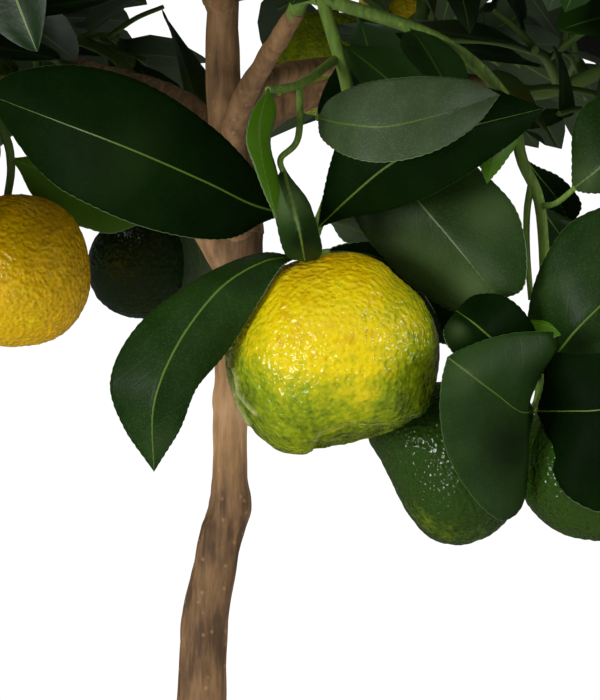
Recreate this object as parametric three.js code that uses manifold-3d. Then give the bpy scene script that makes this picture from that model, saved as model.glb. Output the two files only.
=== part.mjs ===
// Potted sweet lime tree: a young citrus standard in a plain clay pot, with ripening fruit.
// Millimetres, +Z up, front towards -Y. The origin is the centre of the pot's flat underside.

import * as THREE from 'three';
import { mergeVertices } from 'three/addons/utils/BufferGeometryUtils.js';
import Module from 'manifold-3d';

const wasm = await Module();
wasm.setup();

// Driving dimensions

const gap = 0.3; // clearance between two pieces that meet

const pot = {
  height: 190,
  footRadius: 74,
  neckRadius: 98,
  rimRadius: 110,
  rimHeight: 36,
  wall: 8,
  floor: 11,
  roundOff: 3,
  sides: 28,
};

const mixTop = 172; // level of the potting mix, where the trunk is cut flat

// Where the trunk changes its lean or its width: height, x, y and radius
const trunkStations = [
  [mixTop + gap, 0, 0, 17],
  [mixTop + 13, 0, 0, 11.5],
  [215, -2, 0, 9.4],
  [260, -6, 1, 8.3],
  [305, -9, 2, 7.6],
  [342, -8.5, 2, 7],
  [368, -4.2, 1, 6.5],
  [382, -0.9, 0, 6.8],
  [391, -0.6, 0, 5.5],
  [412, 0, 0, 5.2],
  [434, 1, 0, 5.9],
  [452, 1.8, 0, 7.1],
  [468, 2, 0, 7.3],
];

// The crown is a flattened ball, fuller than an ellipsoid by its power, that no leaf leaves
const crown = { x: 8, y: 0, z: 612, wide: 212, deep: 204, high: 188, power: 2.5 };

// Boughs: parent limb, how far along it they leave, their bends and tip, and radii at both ends
const boughs = [
  {
    name: 'leader',
    from: 'trunk',
    at: 0.985,
    bends: [[-3, 6, 530], [5, 0, 605]],
    tip: [0, 10, 668],
    radii: [6, 3],
  },
  {
    name: 'front',
    from: 'trunk',
    at: 0.97,
    bends: [[2, -26, 498]],
    tip: [20, -62, 527],
    radii: [4.6, 2.6],
  },
  {
    name: 'left',
    from: 'trunk',
    at: 0.93,
    bends: [[-34, -8, 500]],
    tip: [-78, -14, 512],
    radii: [5, 2.8],
  },
  {
    name: 'right',
    from: 'trunk',
    at: 0.97,
    bends: [[9, 9, 500], [48, 14, 514]],
    tip: [84, 14, 512],
    radii: [4.8, 2.8],
  },
  {
    name: 'back_left',
    from: 'trunk',
    at: 0.95,
    bends: [[-10, 32, 504]],
    tip: [-54, 84, 526],
    radii: [4.6, 2.6],
  },
  {
    name: 'back_right',
    from: 'leader',
    at: 0.14,
    bends: [[10, 36, 516]],
    tip: [50, 90, 528],
    radii: [4.2, 2.6],
  },
  {
    name: 'front_left',
    from: 'leader',
    at: 0.36,
    bends: [[-20, -34, 562]],
    tip: [-34, -74, 582],
    radii: [3.8, 2.4],
  },
  {
    name: 'front_right',
    from: 'leader',
    at: 0.44,
    bends: [[26, -32, 574]],
    tip: [44, -70, 590],
    radii: [3.8, 2.4],
  },
  {
    name: 'left_high',
    from: 'leader',
    at: 0.52,
    bends: [[-38, 6, 596]],
    tip: [-80, 10, 624],
    radii: [3.8, 2.4],
  },
  {
    name: 'right_high',
    from: 'leader',
    at: 0.6,
    bends: [[40, 6, 606]],
    tip: [84, 10, 630],
    radii: [3.8, 2.4],
  },
  {
    name: 'back_high',
    from: 'leader',
    at: 0.7,
    bends: [[2, 40, 622]],
    tip: [2, 80, 642],
    radii: [3.6, 2.4],
  },
];

// Masses of foliage: one on each bough's tip, with the middle of its space, its count of twigs,
// its count of fruit and the seed of its twigs
const masses = [
  { name: 'left', heart: [-128, -24, 528], twigs: 10, fruit: 1, seed: 36 },
  { name: 'right', heart: [142, 4, 528], twigs: 10, fruit: 2, seed: 36 },
  { name: 'back_left', heart: [-80, 116, 548], twigs: 9, fruit: 1, seed: 113 },
  { name: 'back_right', heart: [64, 128, 548], twigs: 9, fruit: 2, seed: 197 },
  { name: 'front_left', heart: [-52, -110, 594], twigs: 10, fruit: 2, seed: 127 },
  { name: 'front_right', heart: [66, -106, 600], twigs: 9, fruit: 1, seed: 99 },
  { name: 'left_high', heart: [-112, 22, 650], twigs: 9, fruit: 1, seed: 50 },
  { name: 'right_high', heart: [122, 18, 654], twigs: 9, fruit: 1, seed: 15 },
  { name: 'back_high', heart: [4, 104, 668], twigs: 9, fruit: 1, seed: 246 },
  { name: 'leader', heart: [6, -6, 722], twigs: 11, fruit: 1, seed: 43 },
];

// Twigs and leaves of every mass
const twig = {
  golden: 2.39996, // turn from one twig to the next, radians
  spread: 1.45, // how far round the outward direction the twigs fan
  lift: 0.12,
  shortest: 26,
  longest: 96,
  endRoom: 36, // room kept for the leaves beyond a twig's end
  footRadius: 2,
  endRadius: 1.4,
};
const leaf = {
  turn: (135 * Math.PI) / 180, // three eighths of a circle from one leaf to the next
  firstAt: 12,
  lastAt: 0.97, // share of the twig's length
  spacing: 12,
  shortest: 58,
  longest: 82,
  slimness: 0.5,
  thickness: 1.4,
  lean: 0.95, // angle between a twig and its leaves, radians
  droop: 0.32,
  sunk: 0.5,
  // further turn round the twig and share of its size, in the order they are tried
  tries: [[0, 1], [2.1, 1], [4.2, 1], [0, 0.8], [2.1, 0.8], [4.2, 0.8]],
};
const fruit = { smallest: 20, largest: 27, flatness: 0.94, stalk: 9, apart: 44, sides: 8, rows: 5 };
const limbRoom = 3; // clear room between a leaf and a limb of another node
const cellRoom = 0.6; // clear room to the middle plane between two masses

// The front spray is arranged as it is seen by an eye in front of the tree, so its places are
// named by picture column, picture row and depth. The picture is 600 wide and 700 high.
const eye = { x: 21, y: -895, z: 430, sharpAt: -95, scale: 3.65 };
const middle = { column: 300, row: 350 };

// Nothing but the front spray and the hung fruit shows below this row of the picture
const openBelow = { row: 147, left: -6, right: 606 };

// The room kept for the front spray: lowest and highest corner
const frontRoom = { low: [-76, -158, 360], high: [134, -44, 517] };

// Twigs of the front spray, from the bough's tip outwards
const frontTwigs = [
  // Fruiting twig
  {
    radii: [1.9, 1.5],
    places: [[322, -2, -74], [350, 108, -79], [331, 190, -88], [319, 232, -92], [337, 268, -95]],
  },
  // Right twig
  {
    radii: [2, 1.7, 1.5],
    places: [
      [322, -2, -74], [440, 40, -80], [505, 98, -80], [522, 160, -80], [540, 206, -78],
      [545, 300, -76], [540, 390, -78], [532, 412, -80],
    ],
  },
  // Left twig
  {
    radii: [1.4, 1],
    places: [[335, 60, -77], [300, 84, -96], [268, 90, -110]],
  },
  // Curled petiole
  {
    radii: [1, 0.8],
    places: [[300, 86, -96], [298, 138, -106], [281, 158, -108], [283, 172, -108]],
  },
  // Petiole of the long leaf
  {
    radii: [1, 0.8],
    places: [[319, 234, -92], [300, 222, -96], [280, 212, -99]],
  },
  // Petiole of the hanging leaf
  {
    radii: [1, 0.8],
    places: [[328, 252, -93], [312, 254, -97], [296, 257, -100]],
  },
  // Far petiole
  {
    radii: [1.2, 0.9],
    places: [[540, 206, -78], [556, 203, -83], [576, 187, -89]],
  },
  // Middle fruit stalk
  {
    radii: [1.5, 1.4],
    places: [[541, 384, -78], [496, 392, -70], [446, 400, -63]],
  },
  // Far fruit stalk
  {
    radii: [1.5, 1.4],
    places: [[541, 388, -78], [568, 390, -73], [591, 402, -70]],
  },
  // Upper petiole
  {
    radii: [1.2, 0.9],
    places: [[350, 104, -79], [334, 116, -88], [318, 118, -96]],
  },
];

// Leaves of the front spray: their midrib from foot to tip, and the widest places of both edges
const frontLeaves = [
  // Hanging leaf left of the sharp fruit
  {
    midrib: [[302, 257, -99], [226, 284, -116], [166, 365, -120], [154, 472, -112]],
    edges: [[137, 325, -106], [233, 346, -108]],
  },
  // Long leaf over the left fruit
  {
    midrib: [[286, 214, -98], [205, 182, -112], [115, 143, -116], [-18, 92, -100]],
    edges: [[133, 223, -112], [187, 96, -104]],
  },
  // Bright leaf seen on its edge
  {
    midrib: [[268, 88, -110], [257, 130, -120], [262, 190, -122], [278, 244, -118]],
    edges: [[250, 158, -126], [275, 168, -98]],
  },
  // Curled leaf above the sharp fruit
  {
    midrib: [[283, 166, -108], [294, 196, -112], [303, 228, -112], [315, 258, -106]],
    edges: [[280, 216, -98], [316, 216, -98]],
  },
  // Leaf that rises to the right
  {
    midrib: [[317, 228, -93], [380, 170, -112], [450, 130, -112], [545, 108, -96]],
    edges: [[388, 94, -104], [428, 196, -106]],
  },
  // Leaf above it, seen from below
  {
    midrib: [[318, 118, -96], [370, 128, -100], [430, 120, -100], [500, 95, -92]],
    edges: [[402, 84, -110], [394, 163, -92]],
  },
  // Broad leaf right of the sharp fruit
  {
    midrib: [[350, 112, -79], [400, 180, -88], [455, 242, -92], [501, 300, -88]],
    edges: [[378, 252, -82], [488, 168, -82]],
  },
  // Small leaf tip at the right twig
  {
    midrib: [[500, 88, -80], [500, 112, -94], [493, 150, -98], [487, 184, -98]],
    edges: [[474, 134, -96], [522, 142, -92]],
  },
  // Leaf of the far petiole
  {
    midrib: [[572, 190, -88], [600, 168, -94], [630, 140, -94], [668, 100, -88]],
    edges: [[590, 118, -86], [626, 186, -90]],
  },
  // Broad far leaf
  {
    midrib: [[541, 374, -79], [581, 325, -98], [625, 282, -100], [668, 238, -92]],
    edges: [[550, 250, -90], [652, 352, -88]],
  },
  // Small curled leaf
  {
    midrib: [[544, 322, -77], [505, 312, -96], [470, 318, -98], [446, 338, -94]],
    edges: [[488, 293, -90], [480, 342, -92]],
  },
  // Front leaf before the lower fruit
  {
    midrib: [[534, 412, -80], [500, 396, -102], [472, 376, -118], [447, 358, -128]],
    edges: [[500, 517, -116], [540, 330, -94]],
  },
  // Dark leaf before the far fruit
  {
    midrib: [[536, 411, -79], [580, 410, -92], [625, 404, -96], [672, 392, -92]],
    edges: [[598, 325, -88], [610, 510, -90]],
  },
  // Leaf behind the sharp fruit
  {
    midrib: [[320, 234, -91], [345, 238, -76], [368, 246, -68], [395, 262, -62]],
    edges: [[362, 228, -70], [352, 257, -72]],
  },
  // Upper leaf behind the right twig
  {
    midrib: [[524, 158, -80], [540, 172, -64], [553, 190, -58], [566, 212, -56]],
    edges: [[562, 172, -60], [534, 196, -58]],
  },
  // Lower leaf behind the right twig
  {
    midrib: [[540, 206, -78], [556, 220, -66], [572, 236, -60], [590, 254, -58]],
    edges: [[584, 214, -62], [546, 246, -62]],
  },
];

// Fruit of the front spray: middle, and radius across in millimetres
const frontFruit = [
  { place: [335, 355, -95], radius: 29, flatness: 0.945, sides: 12, rows: 8 },
  { place: [452, 463, -63], radius: 21.4, flatness: 1.09, sides: 10, rows: 6 },
  { place: [591, 466, -70], radius: 21.5, flatness: 1.02, sides: 10, rows: 6 },
];

// Fruit that hangs into the picture from other masses, with its twig and a leaf beside it
const hungFruit = {
  left: {
    place: [15, 270, 10],
    radius: 23.6,
    twig: [[-40, 76, 2], [12, 140, 6], [20, 172, 9], [8, 200, 10]],
    midrib: [[17, 158, 8], [42, 178, 20], [64, 200, 24], [88, 224, 24]],
    edges: [[72, 182, 24], [36, 216, 22]],
  },
  back_left: {
    place: [138, 266, 60],
    radius: 16.7,
    twig: [[118, 60, 78], [150, 130, 64], [150, 180, 60], [139, 222, 60]],
    midrib: [[150, 176, 60], [186, 214, 56], [200, 255, 54], [196, 302, 54]],
    edges: [[215, 250, 52], [184, 262, 60]],
  },
};

// Colours and finish

const clay = new THREE.MeshStandardMaterial({ color: 0xb5714c, roughness: 0.85, metalness: 0 });
const compost = new THREE.MeshStandardMaterial({ color: 0x3a2a1e, roughness: 1, metalness: 0 });
const bark = new THREE.MeshStandardMaterial({ color: 0x7e6347, roughness: 0.85, metalness: 0 });
const foliage = new THREE.MeshStandardMaterial({ color: 0x21400f, roughness: 0.4, metalness: 0 });

// Vectors and lines

function point([x, y, z]) {
  return new THREE.Vector3(x, y, z);
}

function scaleAt(y) {
  return (eye.scale * (eye.sharpAt - eye.y)) / (y - eye.y);
}

// The place in the model of a picture column and row at a depth
function seen([column, row, y]) {
  const scale = scaleAt(y);
  return point([eye.x + (column - middle.column) / scale, y, eye.z - (row - middle.row) / scale]);
}

function showsBelow(place) {
  const scale = scaleAt(place.y);
  const column = middle.column + (place.x - eye.x) * scale;
  const row = middle.row - (place.z - eye.z) * scale;
  return row > openBelow.row && column > openBelow.left && column < openBelow.right;
}

function path(points) {
  return new THREE.CatmullRomCurve3(points, false, 'catmullrom', 0.5);
}

// A point a share of the way between the entries of a list
function between(values, share) {
  const place = Math.min(Math.max(share, 0), 1) * (values.length - 1);
  const first = Math.min(Math.floor(place), values.length - 2);
  return values[first] + (values[first + 1] - values[first]) * (place - first);
}

// Closed solids

// A geometry with its shared points merged and its collapsed triangles left out
function closed(geometry) {
  geometry.deleteAttribute('normal');
  geometry.deleteAttribute('uv');
  const merged = mergeVertices(geometry, 1e-4);
  const index = merged.index.array;
  const kept = [];
  for (let i = 0; i < index.length; i += 3) {
    const [a, b, c] = [index[i], index[i + 1], index[i + 2]];
    if (a !== b && b !== c && c !== a) {
      kept.push(a, b, c);
    }
  }
  merged.setIndex(kept);
  return merged;
}

function solidOf(geometry) {
  const shape = closed(geometry);
  return new wasm.Manifold(
    new wasm.Mesh({
      numProp: 3,
      vertProperties: new Float32Array(shape.attributes.position.array),
      triVerts: new Uint32Array(shape.index.array),
    }),
  );
}

function fused(solids) {
  return solids.reduce((whole, solid) => whole.add(solid));
}

// The outer skin of the largest body, so that sealed hollows are filled and scraps dropped
function largestBody(solid) {
  return solid.decompose().reduce((best, body) => (body.volume() > best.volume() ? body : best));
}

function meshOf(name, solid, material) {
  const shape = solid.getMesh();
  const geometry = new THREE.BufferGeometry();
  geometry.setAttribute('position', new THREE.BufferAttribute(shape.vertProperties, 3));
  geometry.setIndex(new THREE.BufferAttribute(shape.triVerts, 1));
  geometry.computeVertexNormals();
  const mesh = new THREE.Mesh(geometry, material);
  mesh.name = name;
  return mesh;
}

// A round or three-sided limb along a line, with flat square ends. The middle of each end is
// moved to its rim, so that an end is a plain fan.
function limb(line, radii, sides, rows) {
  const geometry = new THREE.CylinderGeometry(1, 1, 1, sides, rows);
  const place = geometry.attributes.position;
  const course = line.getPoint(1).sub(line.getPoint(0)).normalize();
  const steep = Math.abs(course.z) > 0.75;
  const reference = steep ? point([1, 0, 0]) : point([0, 0, 1]);
  for (let i = 0; i < place.count; i += 1) {
    const t = place.getY(i) + 0.5;
    const along = line.getTangent(t);
    const side = along.clone().cross(reference).normalize();
    const over = side.clone().cross(along);
    const radius = between(radii, t);
    const atMiddle = Math.hypot(place.getX(i), place.getZ(i)) < 0.5;
    const spot = line.getPoint(t);
    spot.addScaledVector(side, radius * place.getX(i));
    spot.addScaledVector(over, radius * (atMiddle ? 1 : place.getZ(i)));
    place.setXYZ(i, spot.x, spot.y, spot.z);
  }
  return solidOf(geometry);
}

// A solid of revolution from radius and height pairs that start and end on the axis
function turned(profile, sides) {
  const geometry = new THREE.LatheGeometry(profile.map(([r, z]) => new THREE.Vector2(r, z)), sides);
  geometry.rotateX(Math.PI / 2);
  return solidOf(geometry);
}

function ball(centre, radius, flatness, sides, rows) {
  const geometry = new THREE.SphereGeometry(1, sides, rows);
  geometry.rotateX(Math.PI / 2);
  geometry.scale(radius, radius, radius * flatness);
  geometry.translate(centre.x, centre.y, centre.z);
  return solidOf(geometry);
}

// Leaves

// A straight leaf of eight faces: foot, tip, both edges and the middle of both faces
function leafPoints(foot, along, facing, length, width) {
  const across = along.clone().cross(facing).normalize();
  const over = across.clone().cross(along).normalize();
  const belly = foot.clone().addScaledVector(along, length * 0.46);
  const sag = length * 0.05;
  return {
    foot: foot.clone().addScaledVector(along, -leaf.sunk),
    tip: foot.clone().addScaledVector(along, length).addScaledVector(over, -sag),
    left: belly.clone().addScaledVector(across, -width / 2).addScaledVector(over, sag),
    right: belly.clone().addScaledVector(across, width / 2).addScaledVector(over, sag),
    upper: belly.clone().addScaledVector(over, leaf.thickness / 2),
    under: belly.clone().addScaledVector(over, -leaf.thickness / 2),
  };
}

function leafSolid(points) {
  const geometry = new THREE.SphereGeometry(1, 4, 2);
  const place = geometry.attributes.position;
  for (let i = 0; i < place.count; i += 1) {
    let spot = place.getY(i) > 0.5 ? points.tip : points.foot;
    if (Math.abs(place.getY(i)) < 0.5) {
      spot = place.getZ(i) > 0 ? points.upper : points.under;
    }
    if (Math.abs(place.getX(i)) > 0.5) {
      spot = place.getX(i) < 0 ? points.left : points.right;
    }
    place.setXYZ(i, spot.x, spot.y, spot.z);
  }
  return solidOf(geometry);
}

// How wide a leaf is at a share of its length, as a part of its widest
function fullness(t) {
  return Math.sin(Math.PI * Math.min(Math.max(t, 0), 1)) ** 0.62;
}

// A bent leaf along its midrib. Both edges keep their place in the frame of the midrib.
function bentLeafSolid(midrib, edges) {
  const line = path(midrib.map(seen));
  const towards = point([0, 1, 0]);
  const frameAt = (t) => {
    const along = line.getTangent(t);
    const side = along.clone().cross(towards).normalize();
    return [along, side, side.clone().cross(along)];
  };
  const frame = frameAt(0.5);
  const offsets = edges.map((edge) => {
    const offset = seen(edge).sub(line.getPoint(0.5));
    return frame.map((axis) => axis.dot(offset));
  });
  const edgeAt = (t, offset) => {
    const spot = line.getPoint(t);
    frameAt(t).forEach((axis, i) => spot.addScaledVector(axis, offset[i] * fullness(t)));
    return spot;
  };
  const geometry = new THREE.SphereGeometry(1, 4, 4);
  const place = geometry.attributes.position;
  for (let i = 0; i < place.count; i += 1) {
    const t = 1 - Math.acos(place.getY(i)) / Math.PI;
    const ring = Math.hypot(place.getX(i), place.getZ(i));
    const first = edgeAt(t, offsets[0]);
    const second = edgeAt(t, offsets[1]);
    let spot = line.getPoint(t);
    if (ring > 1e-3 && Math.abs(place.getX(i)) > ring / 2) {
      spot = place.getX(i) < 0 ? first : second;
    } else if (ring > 1e-3) {
      const over = second.clone().sub(first).cross(line.getTangent(t)).normalize();
      spot.addScaledVector(over, (Math.sign(place.getZ(i)) * leaf.thickness) / 2);
    }
    place.setXYZ(i, spot.x, spot.y, spot.z);
  }
  return solidOf(geometry);
}

// The even chance numbers that steer twigs and leaves: the same seed gives the same mass
function chances(seed) {
  let state = seed;
  return () => {
    state = (Math.imul(state, 1664525) + 1013904223) >>> 0;
    return state / 4294967296;
  };
}

// Limbs

const lines = { trunk: path(trunkStations.map(([z, x, y]) => point([x, y, z]))) };
const limbRadii = { trunk: trunkStations.map((station) => station[3]) };
for (const bough of boughs) {
  const start = lines[bough.from].getPoint(bough.at);
  lines[bough.name] = path([start, ...bough.bends.map(point), point(bough.tip)]);
  limbRadii[bough.name] = bough.radii;
}

const trunkRows = 18;
const boughRows = 6;
const limbSides = 7;

function trunkSolid(extra) {
  return limb(lines.trunk, limbRadii.trunk.map((radius) => radius + extra), limbSides + 3, trunkRows);
}

function boughSolid(bough, extra) {
  return limb(lines[bough.name], bough.radii.map((radius) => radius + extra), limbSides, boughRows);
}

// Each bough is cut clear of the trunk and of the boughs made before it
function makeBoughs() {
  const taken = [trunkSolid(gap)];
  return boughs.map((bough) => {
    const cut = taken.reduce((rest, other) => rest.subtract(other), boughSolid(bough, 0));
    taken.push(boughSolid(bough, gap));
    return meshOf(`bough_${bough.name}`, largestBody(cut), bark);
  });
}

// Points along every limb, with the room that leaves of the masses keep from them
const limbBeads = Object.keys(lines).flatMap((name) =>
  lines[name].getPoints(60).map((spot, i) => ({
    spot,
    room: between(limbRadii[name], i / 60) + limbRoom,
  })),
);

function beadsAlong(places, count, room, owner) {
  return path(places.map(seen)).getPoints(count).map((spot) => ({ spot, room, owner }));
}

// Points along the front twigs, which run above the room of the front spray at first
const frontBeads = frontTwigs.flatMap(({ places }) => beadsAlong(places, 40, 2 + limbRoom, 'front'));

// Each hung fruit keeps its place and a little room, for every mass but its own
const hungBeads = Object.entries(hungFruit).flatMap(([name, hung]) => [
  { spot: seen(hung.place), room: hung.radius + limbRoom, owner: name },
  ...beadsAlong(hung.twig, 24, 2 + limbRoom, name),
  ...beadsAlong(hung.midrib, 12, 14 + limbRoom, name),
]);

const allBeads = [...limbBeads, ...frontBeads, ...hungBeads];

// Room for the masses

function inSpace(mass, spot) {
  const across = Math.abs(spot.x - crown.x) / crown.wide;
  const back = Math.abs(spot.y - crown.y) / crown.deep;
  const rise = Math.abs(spot.z - crown.z) / crown.high;
  const share = across ** crown.power + back ** crown.power + rise ** crown.power;
  if (share > 1 || showsBelow(spot)) {
    return false;
  }
  const own = point(mass.heart);
  return masses.every((other) => {
    if (other === mass) {
      return true;
    }
    const away = own.clone().sub(point(other.heart));
    const half = own.clone().add(point(other.heart)).multiplyScalar(0.5);
    return spot.clone().sub(half).dot(away) / away.length() > cellRoom;
  });
}

// True where all spots lie beyond one and the same face of the front spray's room
function clearOfFront(spots) {
  const axes = ['x', 'y', 'z'];
  const below = axes.some((axis, i) => spots.every((spot) => spot[axis] < frontRoom.low[i]));
  return below || axes.some((axis, i) => spots.every((spot) => spot[axis] > frontRoom.high[i]));
}

// The distance from a spot to the nearest point of the stretch between two others
function distanceTo(spot, from, to) {
  return new THREE.Line3(from, to).closestPointToPoint(spot, true, new THREE.Vector3()).distanceTo(spot);
}

// True where a leaf, as three stretches from foot to tip, keeps clear of the beads
function clearOf(beads, mass, foot, leafTip, edges) {
  return beads.every(({ spot, room, owner }) => {
    const stretches = [[foot, leafTip], ...edges.flatMap((edge) => [[foot, edge], [edge, leafTip]])];
    return owner === mass.name || stretches.every(([from, to]) => distanceTo(spot, from, to) > room);
  });
}

// Masses of foliage

// How far a line runs from its start before it leaves the mass's space
function reach(mass, start, along) {
  const step = 4;
  let length = 0;
  while (length < 200 && inSpace(mass, start.clone().addScaledVector(along, length + step))) {
    length += step;
  }
  return length;
}

function stemOf(mass) {
  const line = lines[mass.name];
  const tip = line.getPoint(1);
  const along = line.getTangent(1);
  const start = tip.clone().addScaledVector(along, gap);
  const heart = point(mass.heart);
  const bend = start.clone().addScaledVector(along, 16);
  const outward = heart.clone().sub(start).normalize();
  return path([start, bend, heart, heart.clone().addScaledVector(outward, 14)]);
}

// Two directions square to a given one
function acrossOf(along) {
  const reference = Math.abs(along.z) > 0.75 ? point([1, 0, 0]) : point([0, 0, 1]);
  const side = along.clone().cross(reference).normalize();
  return [side, side.clone().cross(along)];
}

// The twigs of a mass: turned by the golden angle round its outward direction
function twigsOf(mass, stem, chance) {
  const heart = point(mass.heart);
  const outward = heart.clone().sub(point([crown.x, crown.y, crown.z - 50])).normalize();
  const [side, over] = acrossOf(outward);
  const lineOf = (k) => {
    const from = stem.getPoint(0.35 + (0.63 * k) / (mass.twigs - 1));
    const turn = k * twig.golden + chance() * 0.7;
    const tilt = Math.acos(1 - (twig.spread * (mass.twigs - k - 0.5)) / mass.twigs);
    const along = outward.clone().multiplyScalar(Math.cos(tilt));
    along.addScaledVector(side, Math.sin(tilt) * Math.cos(turn));
    along.addScaledVector(over, Math.sin(tilt) * Math.sin(turn));
    along.z += twig.lift;
    along.normalize();
    const length = Math.min(reach(mass, from, along) - twig.endRoom, twig.longest);
    const end = from.clone().addScaledVector(along, Math.max(length, twig.shortest));
    end.z -= length * 0.12;
    const bend = from.clone().lerp(end, 0.5);
    bend.z += Math.max(length, 0) * 0.08;
    return [from, bend, end];
  };
  return Array.from({ length: mass.twigs }, (_, k) => lineOf(k))
    .filter(([from, bend, end]) => inSpace(mass, end) && clearOfFront([from, bend, end]))
    .filter(([from, bend, end]) => clearOf(limbBeads, mass, bend, end, [bend, end]))
    .map(path);
}

// The way a leaf leaves its twig at a turn round it
function leafCourse(along, turn, lean, droop) {
  const [side, over] = acrossOf(along);
  const course = along.clone().multiplyScalar(Math.cos(lean));
  course.addScaledVector(side, Math.sin(lean) * Math.cos(turn));
  course.addScaledVector(over, Math.sin(lean) * Math.sin(turn));
  course.z -= droop;
  return course.normalize();
}

// A leaf as its outline and midrib, and as its two blades
function stretchesOf({ foot, tip, left, right }) {
  return [[foot, left], [left, tip], [foot, right], [right, tip], [foot, tip]];
}

function bladesOf({ foot, tip, left, right }) {
  return [[foot, left, tip], [foot, tip, right]];
}

function passes([from, to], [a, b, c]) {
  const way = to.clone().sub(from);
  const ray = new THREE.Ray(from, way.clone().normalize());
  const hit = ray.intersectTriangle(a, b, c, false, new THREE.Vector3());
  return hit !== null && hit.distanceTo(from) < way.length();
}

function crosses(points, other) {
  return (
    stretchesOf(points).some((stretch) => bladesOf(other).some((blade) => passes(stretch, blade))) ||
    stretchesOf(other).some((stretch) => bladesOf(points).some((blade) => passes(stretch, blade)))
  );
}

// A leaf fits where it stays in its mass's space, keeps clear of the beads, and passes through
// no other leaf and no other twig of its mass
function leafFits(mass, points, beads, others, twigStretches) {
  const rim = [points.tip, points.left, points.right, points.upper];
  return (
    rim.every((spot) => inSpace(mass, spot)) &&
    clearOfFront([points.foot, ...rim]) &&
    clearOf(beads, mass, points.foot, points.tip, [points.left, points.right]) &&
    !others.some((other) => crosses(points, other)) &&
    !twigStretches.some((stretch) => bladesOf(points).some((blade) => passes(stretch, blade)))
  );
}

// The leaves of one twig, from its foot to its end. Each is tried round its twig, then smaller.
function addLeaves(mass, line, beads, leaves, twigStretches, chance) {
  const length = line.getLength();
  const count = Math.floor((length - leaf.firstAt) / leaf.spacing) + 1;
  const start = chance() * 2 * Math.PI;
  for (let k = 0; k <= count; k += 1) {
    const last = k === count;
    const t = last ? leaf.lastAt : Math.min((leaf.firstAt + k * leaf.spacing) / length, leaf.lastAt);
    const foot = line.getPoint(t);
    const along = line.getTangent(t);
    const lean = last ? 0.15 : leaf.lean + (chance() - 0.5) * 0.4;
    const droop = leaf.droop + (chance() - 0.5) * 0.3;
    const outward = foot.clone().sub(point([crown.x, crown.y, crown.z - 90])).normalize();
    const facing = outward.multiplyScalar(0.9).add(point([0, 0, 0.8]));
    facing.add(point([chance() - 0.5, chance() - 0.5, chance() - 0.5]).multiplyScalar(0.9));
    const size = leaf.shortest + (leaf.longest - leaf.shortest) * chance();
    const tries = leaf.tries.map(([turned, share]) => {
      const course = leafCourse(along, start + k * leaf.turn + turned, lean, droop);
      return leafPoints(foot, course, facing, size * share, size * share * leaf.slimness);
    });
    const fitting = tries.find((points) => leafFits(mass, points, beads, leaves, twigStretches));
    if (fitting) {
      leaves.push(fitting);
    }
  }
}

// All leaves of a mass, twig by twig
function leavesOf(mass, twigs, fruits, chance) {
  const fruitBeads = fruits.map(({ centre, radius }) => ({ spot: centre, room: radius + limbRoom }));
  const beads = [...allBeads, ...fruitBeads];
  const stretches = twigs.map((line) => [0, 0.5, 1].map((t) => line.getPoint(t)));
  const leaves = [];
  twigs.forEach((line, own) => {
    const others = stretches.filter((_, k) => k !== own).flatMap(([a, b, c]) => [[a, b], [b, c]]);
    addLeaves(mass, line, beads, leaves, others, chance);
  });
  return leaves;
}

// Fruit hangs below the end of a twig where there is room for it
function fruitOf(mass, twigs, chance) {
  const found = [];
  for (const line of twigs) {
    const radius = fruit.smallest + (fruit.largest - fruit.smallest) * chance();
    const end = line.getPoint(0.9);
    const centre = end.clone().add(point([0, 0, -fruit.stalk - radius]));
    const rim = [[0, 0, -1], [1, 0, 0], [-1, 0, 0], [0, 1, 0], [0, -1, 0]].map((way) =>
      centre.clone().addScaledVector(point(way), radius),
    );
    const others = found.map((other) => ({ spot: other.centre, room: fruit.apart }));
    const beads = [...allBeads, ...others];
    const room = beads.every(({ spot, room: wanted }) => spot.distanceTo(centre) > wanted + radius);
    const fits = rim.every((spot) => inSpace(mass, spot)) && clearOfFront(rim);
    if (found.length < mass.fruit && room && fits) {
      found.push({ centre, radius, end });
    }
  }
  return found;
}

function fruitSolids({ centre, radius, end }) {
  const neck = centre.clone().add(point([0, 0, radius * fruit.flatness - 3]));
  return [
    ball(centre, radius, fruit.flatness, fruit.sides, fruit.rows),
    limb(path([end, neck]), [1.3, 1.5], 3, 1),
  ];
}

function hungSolids(hung) {
  const line = path(hung.twig.map(seen));
  return [
    ball(seen(hung.place), hung.radius, 1, 10, 6),
    limb(line, [1.8, 1.4], 3, 6),
    bentLeafSolid(hung.midrib, hung.edges),
  ];
}

function massSolid(mass) {
  const chance = chances(mass.seed);
  const stem = stemOf(mass);
  const lastRadius = between(limbRadii[mass.name], 1);
  const twigs = twigsOf(mass, stem, chance);
  const fruits = fruitOf(mass, twigs, chance);
  const solids = [limb(stem, [lastRadius, lastRadius * 0.8, twig.footRadius + 0.2], 5, 4)];
  solids.push(...twigs.map((line) => limb(line, [twig.footRadius, twig.endRadius], 3, 2)));
  solids.push(...leavesOf(mass, twigs, fruits, chance).map(leafSolid));
  solids.push(...fruits.flatMap(fruitSolids));
  if (hungFruit[mass.name]) {
    const hung = hungFruit[mass.name];
    const link = path([stem.getPoint(0.6), seen(hung.twig[0]), seen(hung.twig[1])]);
    solids.push(limb(link, [2, 1.8], 3, 5), ...hungSolids(hung));
  }
  return largestBody(fused(solids));
}

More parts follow.
